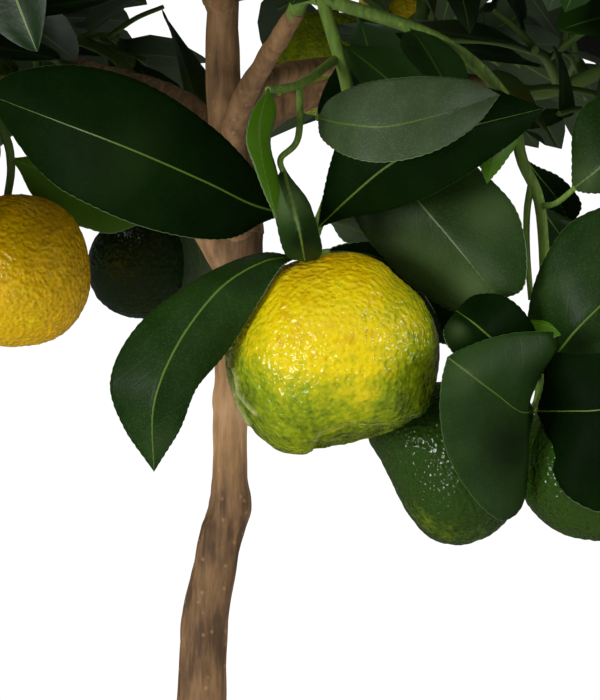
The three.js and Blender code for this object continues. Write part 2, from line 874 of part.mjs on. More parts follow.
function frontSolid() {
  const line = lines.front;
  const along = line.getTangent(1);
  const start = line.getPoint(1).addScaledVector(along, gap);
  const stem = path([start, start.clone().addScaledVector(along, 6), seen(frontTwigs[0].places[0])]);
  const solids = [limb(stem, [2.6, 2.4], 8, 4)];
  for (const { places, radii } of frontTwigs) {
    solids.push(limb(path(places.map(seen)), radii, 3, places.length + 1));
  }
  solids.push(...frontLeaves.map(({ midrib, edges }) => bentLeafSolid(midrib, edges)));
  for (const { place, radius, flatness, sides, rows } of frontFruit) {
    solids.push(ball(seen(place), radius, flatness, sides, rows));
  }
  return largestBody(fused(solids));
}

// Pot and potting mix

function potSolid() {
  const rimFoot = pot.height - pot.rimHeight;
  const innerFoot = pot.footRadius - pot.wall;
  const innerTop = pot.rimRadius - pot.wall - 4;
  return turned(
    [
      [0, 0],
      [pot.footRadius - pot.roundOff, 0],
      [pot.footRadius, pot.roundOff],
      [pot.neckRadius, rimFoot],
      [pot.rimRadius - pot.roundOff, rimFoot],
      [pot.rimRadius - 1, rimFoot + pot.roundOff],
      [pot.rimRadius, pot.height - pot.roundOff],
      [pot.rimRadius - pot.roundOff, pot.height],
      [innerTop + pot.roundOff, pot.height],
      [innerTop, pot.height - pot.roundOff],
      [innerFoot, pot.floor],
      [0, pot.floor],
    ],
    pot.sides,
  );
}

function mixSolid() {
  const innerFoot = pot.footRadius - pot.wall;
  const innerTop = pot.rimRadius - pot.wall - 4;
  const slope = (innerTop - innerFoot) / (pot.height - pot.roundOff - pot.floor);
  const radiusAt = (z) => innerFoot + slope * (z - pot.floor) - gap;
  const foot = pot.floor + gap;
  return turned([[0, foot], [radiusAt(foot), foot], [radiusAt(mixTop), mixTop], [0, mixTop]], pot.sides);
}

const tree = new THREE.Group();
tree.name = 'potted_sweet_lime_tree';
tree.add(meshOf('pot', potSolid(), clay));
tree.add(meshOf('potting_mix', mixSolid(), compost));
tree.add(meshOf('trunk', trunkSolid(0), bark));
tree.add(...makeBoughs());
tree.add(meshOf('foliage_front', frontSolid(), foliage));
for (const mass of masses) {
  tree.add(meshOf(`foliage_${mass.name}`, massSolid(mass), foliage));
}

export default tree;
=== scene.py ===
"""Potted sweet lime tree: a young citrus standard in a plain clay pot, with ripening fruit.

Shapes are worked out in millimetres, in the frame's own axes, and turned to metres where a mesh is
made. The limbs, twigs and leaves follow the same rule as the solids that they dress.
"""

import math

import bpy
import numpy as np
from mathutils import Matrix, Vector


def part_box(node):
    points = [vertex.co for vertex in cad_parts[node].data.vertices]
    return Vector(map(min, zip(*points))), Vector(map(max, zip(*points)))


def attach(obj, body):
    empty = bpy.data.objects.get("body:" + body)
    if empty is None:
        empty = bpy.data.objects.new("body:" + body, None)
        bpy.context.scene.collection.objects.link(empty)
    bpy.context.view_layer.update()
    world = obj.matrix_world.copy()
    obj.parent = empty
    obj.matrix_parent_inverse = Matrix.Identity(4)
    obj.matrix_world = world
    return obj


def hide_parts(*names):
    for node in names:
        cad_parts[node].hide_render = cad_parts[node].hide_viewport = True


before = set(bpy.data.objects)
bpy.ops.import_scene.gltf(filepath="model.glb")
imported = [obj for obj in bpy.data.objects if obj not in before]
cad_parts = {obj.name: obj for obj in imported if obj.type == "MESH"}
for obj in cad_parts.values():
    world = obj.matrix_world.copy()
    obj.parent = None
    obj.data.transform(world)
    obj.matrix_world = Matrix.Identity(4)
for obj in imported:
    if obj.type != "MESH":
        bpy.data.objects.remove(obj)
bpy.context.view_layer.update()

bl_info = {
    "name": "Potted sweet lime tree",
    "version": (1, 0, 0),
    "blender": (4, 5, 0),
    "location": "View3D > Sidebar > Lime tree",
    "description": "Dresses a young potted citrus standard with bark, leaves and fruit",
    "category": "Add Mesh",
}

MM = 0.001
UP = np.array([0.0, 0.0, 1.0])
RIGHT = np.array([1.0, 0.0, 0.0])
# A direction that rises by more than this has no side of its own level with the ground
STEEP = 0.75
# The least numbers that anything is divided by
TINY = 1e-12
SLIGHT = 1e-6
# Folds from this angle on, in degrees, are sharp
SHARP_FROM = 60

# Driving sizes, in millimetres, as the solids have them

GAP = 0.3
MIX_TOP = 172
CANOPY = {"middle": (8, 0, 612), "half": (212, 204, 188), "power": 2.5}
LIMB_ROOM = 3
CELL_ROOM = 0.6

# The pot's foot and neck in from its rim, how much further in its inside runs, its floor, and the
# radius that its turning starts at. Its throwing rings: height, spacing and phase. Radii of its corners
POT = {"foot": 36, "neck": 12, "inside": 4, "floor": 11, "turned_from": 60}
THROWING = ((0.12, 5.3, 0), (0.1, 3.1, 1))
CORNERS = (3, 2, 2.5, 4, 4, 6)
# The mix: depth of its visible block, how far its top is sunk, and height, size and seed of its ripples
MIX = {"depth": 14, "sunk": 1.2, "ripples": ((0.8, 30, 21), (0.5, 9, 22), (0.35, 4, 23))}
# Crumbs: their count, how far from the trunk's middle and from the wall they lie, and their four rings
CRUMBS = {"count": 1500, "from": 19, "wall": 5}
CRUMB_RINGS = ((-0.8, 0.55), (-0.35, 1), (0.3, 0.95), (0.75, 0.5))

# Seeds of the random draws
SEEDS = {
    "trunk": 3, "boughs": 40, "pot": 8, "crumbs": 5, "picture_fruit": 70, "masses": 80,
    "bough_fruit": 200, "upper_rule": 11, "upper_tints": 4, "upper_bends": 61, "canopy": 17,
}

# Height, x, y and radius of the trunk where its lean or width changes
TRUNK = [
    (MIX_TOP + GAP, 0, 0, 17),
    (MIX_TOP + 13, 0, 0, 11.5),
    (215, -2, 0, 9.4),
    (260, -6, 1, 8.3),
    (305, -9, 2, 7.6),
    (342, -8.5, 2, 7),
    (368, -4.2, 1, 6.5),
    (382, -0.9, 0, 6.8),
    (391, -0.6, 0, 5.5),
    (412, 0, 0, 5.2),
    (434, 1, 0, 5.9),
    (452, 1.8, 0, 7.1),
    (468, 2, 0, 7.3),
]

# Root lobes: height, how far up they die out, count and turn. Collars of the boughs: rise as a share
# of the radius, and run as a share of the length
ROOTS = {"height": 2.2, "dies_out": 7, "lobes": 4, "turned": 0.8}
COLLAR = {"rise": 0.3, "run": 0.1}
# Bark: the size and the share of the relief of its ridges and of its swells, and of a bough's bark
BARK = {"ridges": ((2.6, 2.6, 17), 0.55), "swells": ((9, 9, 34), 0.6), "on_boughs": 0.7}

# Painted light on the trunk's bark at a height: paler where light falls on it, darker where it is shaded
TRUNK_PAINTED_LIGHT = [
    (300, 0.0), (368, -0.1), (386, -0.06), (400, 0.14), (411, 0.26), (424, 0.1), (442, -0.04), (462, -0.1),
]
# Knots and one hollow of the trunk: picture place, half width and height
TRUNK_KNOTS = [((214, 402, -4), 4, 0.9), ((250, 508, -5), 3.5, 0.7), ((205, 508, -2), 5, -1.1)]

# Each bough: parent limb, how far along it leaves, its bends and tip, and its radii
BOUGHS = {
    "leader": ("trunk", 0.985, [(-3, 6, 530), (5, 0, 605), (0, 10, 668)], (6, 3)),
    "front": ("trunk", 0.97, [(2, -26, 498), (20, -62, 527)], (4.6, 2.6)),
    "left": ("trunk", 0.93, [(-34, -8, 500), (-78, -14, 512)], (5, 2.8)),
    "right": ("trunk", 0.97, [(9, 9, 500), (48, 14, 514), (84, 14, 512)], (4.8, 2.8)),
    "back_left": ("trunk", 0.95, [(-10, 32, 504), (-54, 84, 526)], (4.6, 2.6)),
    "back_right": ("leader", 0.14, [(10, 36, 516), (50, 90, 528)], (4.2, 2.6)),
    "front_left": ("leader", 0.36, [(-20, -34, 562), (-34, -74, 582)], (3.8, 2.4)),
    "front_right": ("leader", 0.44, [(26, -32, 574), (44, -70, 590)], (3.8, 2.4)),
    "left_high": ("leader", 0.52, [(-38, 6, 596), (-80, 10, 624)], (3.8, 2.4)),
    "right_high": ("leader", 0.6, [(40, 6, 606), (84, 10, 630)], (3.8, 2.4)),
    "back_high": ("leader", 0.7, [(2, 40, 622), (2, 80, 642)], (3.6, 2.4)),
}

# Each mass: middle of its space, count of twigs, count of fruit and the seed of its twigs
MASSES = {
    "left": ((-128, -24, 528), 10, 1, 36),
    "right": ((142, 4, 528), 10, 2, 36),
    "back_left": ((-80, 116, 548), 9, 1, 113),
    "back_right": ((64, 128, 548), 9, 2, 197),
    "front_left": ((-52, -110, 594), 10, 2, 127),
    "front_right": ((66, -106, 600), 9, 1, 99),
    "left_high": ((-112, 22, 650), 9, 1, 50),
    "right_high": ((122, 18, 654), 9, 1, 15),
    "back_high": ((4, 104, 668), 9, 1, 246),
    "leader": ((6, -6, 722), 11, 1, 43),
}

# A mass's stem: how far it runs straight on from its bough and beyond the middle of its space
STEM = {"straight": 16, "beyond": 14, "sunk": 2, "radii": (2.6, 2.2, 2.1)}

# Twigs leave the stem from a share of its length on, and turn by the golden angle, in radians
TWIG = {
    "first_at": 0.35,
    "run": 0.63,
    "golden": 2.39996,
    "turn_play": 0.7,
    "spread": 1.45,
    "from_below": 50,
    "lift": 0.12,
    "shortest": 26,
    "longest": 96,
    "end_room": 36,
    "sag": 0.12,
    "arch": 0.08,
    "radii": (2, 1.4),
}

# Leaves: lengths in millimetres, angles in radians, and shares of a leaf's length
LEAF = {
    "turn": math.radians(135),
    "first_at": 12,
    "last_at": 0.97,
    "spacing": 12,
    "sizes": (58, 82),
    "slimness": 0.5,
    "thickness": 1.4,
    "lean": 0.95,
    "lean_play": 0.4,
    "last_lean": 0.15,
    "droop": 0.32,
    "droop_play": 0.3,
    "outward": 0.9,
    "upward": 0.8,
    "facing_play": 0.9,
    "from_below": 90,
    "widest_at": 0.46,
    "sag": 0.05,
    "sunk": 0.5,
    "tries": ((0, 1), (2.1, 1), (4.2, 1), (0, 0.8), (2.1, 0.8), (4.2, 0.8)),
}
FRUIT = {"smallest": 20, "largest": 27, "flatness": 0.94, "stalk": 9, "hangs_at": 0.9, "apart": 44}

# Finer twigs of the masses: how far along a twig they leave, and the leaves that they carry
FINE_TWIG = {
    "at": (0.3, 0.5, 0.7, 0.86), "lean": 0.85, "lift": 0.1, "arch": 0.05, "end_room": 24,
    "longest": 44, "shortest": 14, "radii": (1.1, 0.8),
}
FINE_LEAF = LEAF | {"first_at": 6, "spacing": 9, "sizes": (40, 64)}

# A bough's leaf as shares of its length and of its half width: far off, and where the picture shows it
FAR_LEAF = ((0.05, 0.1, 0.2, 0.38, 0.58, 0.78, 0.93), (1, 0.5, 0.03, -0.03, -0.5, -1))
NEAR_LEAF = (
    (0.04, 0.09, 0.13, 0.19, 0.27, 0.36, 0.46, 0.56, 0.66, 0.75, 0.83, 0.9, 0.95, 0.985),
    (1, 0.8, 0.55, 0.3, 0.035, -0.035, -0.3, -0.55, -0.8, -1),
)
# Ranges of its sag, of the fold along its midrib, of its twist and of its wave's phase
BLADE_BENDS = ((0.03, 0.2), (0.05, 0.16), (-0.35, 0.35), (0, 6))
# Its outline: length of the petiole, where it is widest and how full, and width of the petiole
OUTLINE = {"petiole": 0.09, "widest": 0.88, "fullness": 0.72, "stalk": 0.045}
# Waves along a leaf's edge: height as a share of its length or width, and how many radians long
BOUGH_WAVE = (0.012, 9)
FRONT_WAVE = (0.035, 11)
# How much a bough leaf's fold rises
FOLD = 1.2
# A front leaf: places from midrib to margin, length of a tooth, width of the margin, rise of the
# midrib above and below the blade, in millimetres, and how far the halves bulge as a share of their width
HALF_BLADE = (0, 0.12, 0.28, 0.46, 0.64, 0.8, 0.92, 1)
TOOTH = 2.1
RIM = 0.2
RIB_RISE = (0.16, 0.24)
BULGE = 0.16
# A straight leaf's lines and faces between its foot, tip and both edges, for the rule's tests
STRETCHES = np.array([(0, 2), (2, 1), (0, 3), (3, 1), (0, 1)])
BLADES = np.array([(0, 2, 1), (0, 1, 3)])

# Rows and sides of the skins
TRUNK_GRID = (300, 56)
BOUGH_GRID = (110, 28)
FRONT_TWIG_GRID = (40, 12)
TWIG_GRID = (14, 8)
SHARP_FRUIT_GRID = (176, 360)
PICTURE_FRUIT_GRID = (100, 200)
BOUGH_FRUIT_GRID = (44, 88)

# Places of the finishes on a leaf piece
TINTS = ("deep", "mid", "sheen", "bright", "under")
UNDER = 4
RIB = 5
MARGIN = 6
# How often a spray is deep, mid or sheen, and how often its last leaf is young
SPRAY_SHARES = (0.4, 0.4, 0.2)
YOUNG_SHARE = 0.45
# Places of the finishes on the boughs' fruit, one of which each fruit draws
RIPE_PLACES = (0, 0, 1, 2, 3)

# Sizes of the surfaces' patterns, in millimetres
PATTERN = {
    "leaf_gland": 0.7, "leaf_cloud": 9, "bough_leaf_cloud": 7, "half_vein": 3.25, "rib_grain": 1.2,
    "peel_gland": 1.3, "peel_fleck": 1.5, "peel_patch": 4.5, "lenticel": 4, "bark_patch": 20,
    "grit": 1.2, "turning_ring": 3, "salt_bloom": 50, "mix_crumb": 3.5,
}
CUTICLE_IOR = 1.42
# How far a side vein runs on along the leaf for each millimetre out
VEIN_LEAN = 0.62

# The front spray is arranged as an eye in front of the tree sees it: places are picture column,
# picture row and depth. The picture is 600 wide and 700 high.
EYE = {"x": 21, "y": -895, "z": 430, "sharp_at": -95, "scale": 3.65}
PICTURE = {"column": 300, "row": 350, "width": 600, "height": 700}
# Leaves no further than this from the picture's edges, in pixels, get finer blades
NEAR_EDGE = 60
OPEN_BELOW = {"row": 147, "left": -6, "right": 606}
FRONT_ROOM = ((-76, -158, 360), (134, -44, 517))
# Leaves by the masses' rule grow on the front spray above this height
FRONT_RULE_FROM = 486

# Twigs and petioles of the front spray: radii and places
FRONT_TWIGS = [
    # Fruiting twig
    ((1.9, 1.4), [(322, -2, -74), (350, 108, -79), (331, 190, -88), (316, 230, -91), (311, 248, -91),
                  (322, 270, -93)]),
    # Right twig
    (
        (2, 1.6, 1.3),
        [
            (322, -2, -74), (440, 40, -80), (505, 98, -80), (522, 160, -80), (540, 206, -78),
            (545, 300, -76), (540, 390, -78), (532, 412, -80),
        ],
    ),
    # Thin twig beside it
    ((1.1, 0.8), [(531, 186, -79), (527, 212, -77), (527, 250, -76), (531, 300, -77)]),
    # Left twig
    ((1.4, 1), [(335, 60, -77), (300, 84, -96), (268, 90, -110)]),
    # Curled petiole
    ((1, 0.8), [(300, 86, -96), (298, 138, -106), (281, 158, -108), (283, 172, -108)]),
    # Petiole of the long leaf
    ((1, 0.8), [(319, 234, -92), (300, 222, -96), (280, 212, -99)]),
    # Petiole of the hanging leaf
    ((1, 0.8), [(328, 252, -93), (312, 254, -97), (296, 257, -100)]),
    # Far petiole
    ((0.9, 0.75), [(540, 206, -78), (556, 203, -83), (576, 187, -89)]),
    # Middle fruit stalk
    ((1.5, 1.4), [(541, 384, -78), (496, 392, -70), (446, 400, -63)]),
    # Far fruit stalk
    ((1.5, 1.4), [(541, 388, -78), (568, 390, -73), (591, 402, -70)]),
    # Upper petiole
    ((1.2, 0.9), [(350, 104, -79), (334, 116, -88), (318, 118, -98)]),
    # Petiole of the hidden leaves
    ((1.1, 0.8), [(350, 108, -79), (374, 190, -66), (385, 235, -62), (392, 252, -62)]),
]

# Leaves of the front spray: finish, midrib from foot to tip, and the inner places of both edges. Then
# come spots of painted sheen, which mix in a greyer green, and of painted shade, where the share is
# below nought: picture column, row, size and share.
# Each leaf's finish also paints its light: deep is a darker copy of the green for painted shade, and sheen
# a paler one for a painted sheen
FRONT_LEAVES = [
    # Hanging leaf left of the sharp fruit
    (
        "mid",
        [(298, 257, -99), (262, 263, -107), (219, 290, -114), (178, 344, -119), (154, 405, -120),
         (154, 472, -112)],
        [(258, 254, -102), (198, 278, -108), (139, 322, -112), (111, 378, -113), (124, 428, -112)],
        [(281, 269, -106), (261, 300, -112), (229, 351, -111), (196, 389, -113), (179, 432, -113)],
        (165, 440, 20, 0.2),
        (120, 370, 45, -0.4),
        (242, 268, 26, -0.4),
    ),
    # Long leaf over the left fruit
    (
        "deep",
        [(286, 214, -98), (250, 204, -105), (205, 182, -112), (132, 150, -116), (60, 122, -112),
         (-18, 92, -100)],
        [(262, 223, -100), (226, 240, -106), (166, 234, -111), (100, 210, -112), (40, 172, -108)],
        [(262, 180, -101), (215, 128, -106), (150, 84, -109), (80, 66, -108), (15, 72, -104)],
        (205, 225, 45, -0.5),
        (140, 165, 40, 0.06),
    ),
    # Bright leaf seen on its edge: its bright green is painted light shining through it
    (
        "bright",
        [(268, 88, -110), (259, 124, -119), (261, 158, -122), (268, 190, -121), (276, 219, -118)],
        [(252, 110, -118), (246, 138, -125), (253, 164, -126), (264, 194, -122)],
        [(275, 110, -108), (272, 140, -104), (275, 168, -106), (278, 196, -112)],
    ),
    # Curled leaf above the sharp fruit
    (
        "sheen",
        [(283, 166, -108), (290, 196, -112), (299, 230, -113), (305, 262, -106)],
        [(273, 188, -106), (275, 216, -107), (280, 243, -106), (289, 257, -104)],
        [(294, 184, -102), (311, 208, -99), (322, 240, -99), (318, 257, -102)],
        (286, 203, 20, 0.65),
        (302, 240, 16, -0.9),
    ),
    # Leaf that rises to the right
    (
        "deep",
        [(317, 228, -93), (350, 197, -104), (392, 163, -112), (450, 133, -113), (545, 108, -96)],
        [(345, 219, -96), (388, 211, -102), (432, 194, -106), (480, 166, -106), (522, 136, -100)],
        [(321, 202, -100), (331, 158, -104), (350, 118, -107), (400, 88, -108), (475, 84, -103)],
    ),
    # Leaf above it, seen from below
    (
        "under",
        [(318, 118, -98), (345, 124, -112), (385, 127, -118), (435, 116, -117), (500, 95, -104)],
        [(322, 140, -104), (348, 157, -115), (386, 163, -119), (434, 152, -119), (476, 126, -112)],
        [(330, 98, -104), (358, 84, -112), (396, 78, -116), (436, 76, -114), (474, 80, -109)],
    ),
    # Broad leaf right of the sharp fruit
    (
        "mid",
        [(350, 112, -79), (385, 162, -84), (420, 203, -89), (460, 250, -94), (500, 300, -95)],
        [(336, 160, -80), (355, 219, -80), (382, 257, -80), (412, 288, -82), (450, 310, -86),
         (484, 314, -91)],
        [(400, 124, -82), (452, 150, -86), (490, 178, -90), (516, 208, -94), (527, 250, -97),
         (524, 288, -97)],
        (472, 290, 24, 0.75),
        (430, 264, 28, 0.42),
        (396, 252, 24, 0.4),
        (494, 212, 34, 0.4),
        (410, 205, 26, 0.2),
    ),
    # Small leaf tip at the right twig
    (
        "bright",
        [(500, 88, -80), (500, 112, -94), (495, 150, -98), (487, 184, -98)],
        [(482, 108, -88), (473, 134, -95), (477, 160, -98)],
        [(516, 106, -86), (522, 134, -92), (505, 163, -96)],
    ),
    # Leaf of the far petiole
    (
        "mid",
        [(572, 190, -88), (600, 168, -94), (630, 140, -94), (668, 100, -88)],
        [(571, 165, -88), (572, 135, -88), (585, 105, -88), (625, 88, -88)],
        [(590, 194, -91), (618, 191, -92), (645, 167, -91), (664, 132, -90)],
        (586, 178, 18, 0.4),
    ),
    # Broad far leaf
    (
        "mid",
        [(541, 374, -79), (560, 350, -90), (581, 325, -98), (625, 282, -100), (668, 238, -92)],
        [(527, 338, -84), (530, 295, -88), (545, 258, -91), (572, 222, -92), (615, 204, -92),
         (652, 212, -92)],
        [(562, 372, -84), (592, 368, -88), (622, 354, -91), (648, 332, -92), (665, 300, -92),
         (672, 266, -92)],
        (554, 285, 22, 0.1),
        (578, 344, 18, -0.8),
    ),
    # Small curled leaf
    (
        "deep",
        [(540, 380, -78), (518, 360, -95), (492, 339, -106), (473, 323, -108), (456, 311, -104)],
        [(512, 386, -90), (474, 370, -103), (450, 350, -107), (443, 330, -106)],
        [(545, 352, -86), (530, 320, -94), (505, 297, -100), (475, 294, -101)],
        (459, 330, 10, 0.34),
        (474, 308, 16, -0.5),
    ),
    # Front leaf before the lower fruit
    (
        "sheen",
        [(534, 412, -80), (518, 411, -98), (497, 395, -110), (472, 376, -121), (447, 357, -125)],
        [(528, 440, -82), (527, 502, -82), (505, 521, -86), (478, 503, -93), (450, 461, -103),
         (440, 420, -112), (441, 382, -120)],
        [(530, 396, -82), (548, 360, -84), (562, 335, -88), (522, 332, -100), (486, 339, -111),
         (458, 350, -119)],
        (464, 372, 20, 0.24),
        (490, 350, 22, 0.14),
        (467, 452, 16, 0.16),
        (508, 446, 36, -0.85),
        (536, 372, 16, -0.6),
    ),
    # Dark leaf before the far fruit
    (
        "deep",
        [(536, 411, -79), (570, 411, -89), (600, 410, -94), (640, 402, -96), (672, 392, -92)],
        [(548, 440, -84), (556, 476, -87), (574, 502, -90), (612, 512, -93), (655, 470, -93)],
        [(543, 385, -84), (548, 352, -87), (572, 330, -89), (615, 322, -91), (655, 345, -92)],
        (590, 430, 80, -0.6),
    ),
    # Fold of young leaf that catches the light
    (
        "bright",
        [(526, 322, -86), (540, 324, -90), (553, 328, -92), (563, 334, -93)],
        [(528, 332, -88), (540, 336, -91), (554, 338, -93)],
        [(534, 318, -86), (547, 319, -90), (559, 326, -92)],
    ),
    # Grey underside behind the sharp fruit
    (
        "under",
        [(330, 222, -70), (350, 228, -66), (375, 240, -62), (400, 262, -58)],
        [(342, 240, -68), (362, 250, -64), (385, 262, -60)],
        [(350, 212, -64), (380, 220, -61), (402, 240, -58)],
        (342, 228, 20, 0.95),
    ),
    # Dark leaf along the top of the sharp fruit
    (
        "deep",
        [(320, 252, -80), (350, 252, -74), (385, 260, -68), (425, 285, -62)],
        [(342, 262, -76), (380, 280, -70), (410, 296, -64)],
        [(345, 243, -76), (385, 242, -70), (418, 262, -64)],
    ),
    # Dark leaf between the sharp fruit and the broad leaf
    (
        "deep",
        [(392, 250, -62), (415, 282, -58), (436, 315, -56), (447, 345, -56)],
        [(388, 278, -62), (410, 315, -60), (430, 340, -58)],
        [(415, 262, -58), (445, 292, -56), (464, 320, -56)],
    ),
    # Upper leaf behind the right twig
    (
        "deep",
        [(524, 158, -80), (538, 176, -66), (556, 198, -60), (572, 226, -58)],
        [(531, 186, -68), (541, 214, -63), (556, 234, -60)],
        [(538, 166, -68), (562, 178, -61), (582, 204, -58)],
    ),
    # Lower leaf behind the right twig
    (
        "mid",
        [(540, 206, -78), (552, 224, -68), (566, 244, -62), (582, 270, -60)],
        [(539, 226, -70), (547, 254, -65), (562, 272, -62)],
        [(560, 214, -66), (584, 228, -62), (592, 254, -60)],
    ),
]

# Fruit that hangs into the picture from other masses, with its twig and a leaf beside it
HUNG = {
    "left": {
        "fruit": "left",
        "twig": [(-40, 76, 2), (2, 130, 6), (11, 165, 9), (7, 200, 10)],
        # The bright green of this leaf is painted light: it hangs in the canopy's shade
        "leaf": (
            "bright",
            [(9, 158, 9), (24, 164, 12), (54, 176, 20), (92, 194, 28), (140, 224, 30)],
            [(20, 172, 12), (34, 198, 18), (58, 219, 24), (84, 228, 28), (112, 234, 30)],
            [(28, 156, 13), (54, 150, 19), (86, 160, 26), (120, 184, 30), (136, 206, 30)],
        ),
    },
    "back_left": {
        "fruit": "rear",
        "twig": [(118, 60, 78), (150, 130, 64), (150, 180, 60), (139, 222, 60)],
        "leaf": (
            "under",
            [(150, 176, 60), (186, 214, 56), (200, 255, 54), (196, 302, 54)],
            [(156, 205, 58), (172, 246, 56), (178, 284, 55)],
            [(184, 196, 54), (212, 228, 52), (214, 276, 52)],
        ),
    },
}

# Fruit that the picture shows: middle, radius, depth through it, how ripe it is, and its outline in
# the picture as pixels out from the middle towards the right, then on round by its underside
PICTURE_FRUIT = {
    "sharp": {
        "place": (335, 355, -95),
        "radius": 28.3,
        "ripe": 0.73,
        "fade": 0.09,
        "outline": [
            (105, 8), (102, 24), (96, 42), (85, 59), (61, 76), (31, 87), (6, 93), (-14, 96),
            (-35, 99), (-55, 96), (-70, 86), (-85, 71), (-96, 51), (-102, 34), (-107, 16),
            (-106, -6), (-98, -34), (-84, -60), (-69, -77), (-53, -87), (-34, -94), (-17, -97),
            (0, -99), (18, -100), (36, -97), (49, -91), (63, -77), (79, -62), (92, -43), (101, -25),
            (105, -8),
        ],
    },
    # The lower fruit's fade is painted light: its underside is made lighter and its top darker
    "lower": {
        "place": (455, 455, -63),
        "radius": 23.4,
        "ripe": 0.19,
        "fade": -0.12,
        "outline": [
            (68, 20), (63, 46), (51, 66), (30, 82), (2, 90), (-26, 82), (-43, 62), (-59, 35),
            (-74, 6), (-86, -16), (-80, -44), (-52, -66), (-12, -74), (32, -70), (60, -48), (68, -14),
        ],
    },
    "far": {
        "place": (590, 465, -70),
        "radius": 21,
        "ripe": 0.2,
        "fade": -0.06,
        "outline": [
            (76, 0), (68, 38), (40, 68), (0, 77), (-30, 70), (-48, 56), (-63, 36), (-70, 0),
            (-66, -34), (-40, -62), (0, -70), (44, -60), (70, -32),
        ],
    },
    # The left fruit's ripeness and fade are painted light: its top, which the canopy shades, takes the
    # brightest gold, and its underside a darker gold
    "left": {
        "place": (15, 270, 10),
        "radius": 23.6,
        "ripe": 0.95,
        "fade": 0.06,
        "outline": [
            (76, 0), (71, 32), (50, 62), (8, 77), (-36, 68), (-66, 38), (-76, 0), (-68, -36),
            (-42, -64), (-6, -74), (40, -66), (68, -36),
        ],
    },
    # The rear fruit's ripeness below nought takes the peel's darkest stop: painted shade
    "rear": {
        "place": (138, 266, 60),
        "radius": 16.7,
        "ripe": -0.08,
        "fade": -0.04,
        "outline": [
            (50, 0), (45, 24), (26, 44), (0, 51), (-28, 43), (-46, 22), (-50, 0), (-44, -24),
            (-24, -44), (4, -49), (30, -42), (46, -22),
        ],
    },
}

# Rind: the size and the height of its lumps in millimetres, then the sizes and the shares of the
# pebbles' height of its wrinkles and of its fine pebbles, and how long and how far wrinkles bend
RIND = {"lumps": (24, 0.28), "wrinkles": (5, 0.3), "fine": (2.3, 0.5), "bend": (12, 1.5)}
# The boughs' fruit: how far the rind lies inside the rule's radius, as room for its relief, then the
# dents at the top and at the underside: depth, and how far they reach
RELIEF_ROOM = 1.2
DENTS = ((1.6, 0.06), (0.9, 0.04))
# Button between stalk and fruit: radius and height pairs, lobes and their share of the radius
BUTTON = {"profile": [(1.9, -0.6), (3.8, -0.5), (3.8, 0.3), (1.9, 0.8)], "sides": 20, "lobes": (5, 0.22)}

# The sharp fruit's marks: how deep its fold and what lies below it sink, how far its ridges rise, and
# half the widths of fold, ridges and lip in pixels. Then how corky its ridges and its lip are
MARKS = {"fold": 1.5, "below": 1.8, "ridge": 0.9, "fold_width": 5, "ridge_width": 1.3, "lip_width": 1.6}
CORKY = {"ridge": 0.65, "lip": 0.4}
# Its green: where it starts above the middle, over how much of the way down it comes, by which power,
# and what it takes off the grade below, to both sides (from a share of the way out) and under the fold.
# To the sides and under the fold this green is partly the rind's own and partly painted shade. What
# would fall below the least grade is left over by a share only
GREENING = {
    "start": 0.12, "over": 0.85, "power": 1.3, "down": 0.25, "aside": 0.25, "right": (0.3, 0.5),
    "left": (0.5, 0.6), "under": 0.05, "least": 0.44, "left_over": 0.3,
}
# The part below the fold ends at this row and starts at this column
BELOW_FOLD = {"row": 470, "column": 312}
# The sharp fruit's fold over its underside, and the corky ridges down its left side
UNDER_FOLD = [(313, 449), (321, 439), (333, 435), (348, 428), (366, 431), (396, 431), (414, 421)]
SIDE_RIDGES = [
    [(233, 346), (231, 363), (237, 376), (239, 393), (249, 406), (257, 414)],
    [(228, 352), (229, 371), (234, 389), (240, 406), (250, 424)],
]

# Soft lights: place and width in millimetres, power in watts, and what they give
LIGHTS = {
    "front_left": ((-900, -1100, 380), 400, 10.5, ("light", "glints")),
    "right": ((1200, -420, 700), 280, 4, ("light", "glints")),
    "overhead": ((-60, -520, 1700), 2000, 33, ("light",)),
    "behind": ((-500, 1200, 900), 900, 12, ("light",)),
    "high": ((0, 350, 1900), 800, 16, ("glints",)),
}
LIT_PLACE = (20, -60, 480)
# The floor's plate: inner radius, top and underside in millimetres. It fades over these metres
FLOOR = {"inner": 30, "top": -0.2, "underside": -5.2, "fade": (0.35, 1.3)}
# Strength of the background for soft light, for glossy faces and for the camera
WORLD = {"fill": 0.26, "glossy": 0.07, "shown": 1.05}


def linear(hex_code):
    """The linear colour of an sRGB hex code, as red, green, blue and alpha."""
    parts = [int(hex_code[i : i + 2], 16) / 255 for i in (1, 3, 5)]
    return tuple(c / 12.92 if c <= 0.04045 else ((c + 0.055) / 1.055) ** 2.4 for c in parts) + (1.0,)


def colour_choice(name, hex_code, description):
    """A colour that a user may change, with its default from an sRGB hex code."""
    return bpy.props.FloatVectorProperty(
        name=name, description=description, size=4, subtype="COLOR", min=0, max=1,
        default=linear(hex_code),
    )


def size_choice(name, millimetres, description):
    """A length that a user may change, with its default in millimetres."""
    return bpy.props.FloatProperty(
        name=name, description=description, default=millimetres * MM, min=0, subtype="DISTANCE",
        unit="LENGTH",
    )


class LimeTreeSizes(bpy.types.PropertyGroup):
    """Sizes of the tree's finish that a user may change."""

    blade: size_choice("Leaf thickness", 0.5, "Thickness of a leaf blade")
    midrib: size_choice("Midrib", 0.25, "Half the width of a front leaf's midrib at its foot")
    teeth: size_choice("Margin teeth", 0.28, "Depth of the shallow teeth along a front leaf")
    pebble: size_choice("Peel pebbles", 0.13, "Height of the pebbles on a fruit's peel")
    bark_relief: size_choice("Bark relief", 0.28, "Height of the ridges on the bark")
    wall: size_choice("Pot wall", 8, "Thickness of the pot's wall")
    rim_height: size_choice("Pot rim", 36, "Height of the pot's rolled rim")
    crumb: size_choice("Mix crumb", 2.6, "Half the length of an average crumb of potting mix")
    floor: size_choice("Floor radius", 8000, "Radius of the pale floor")


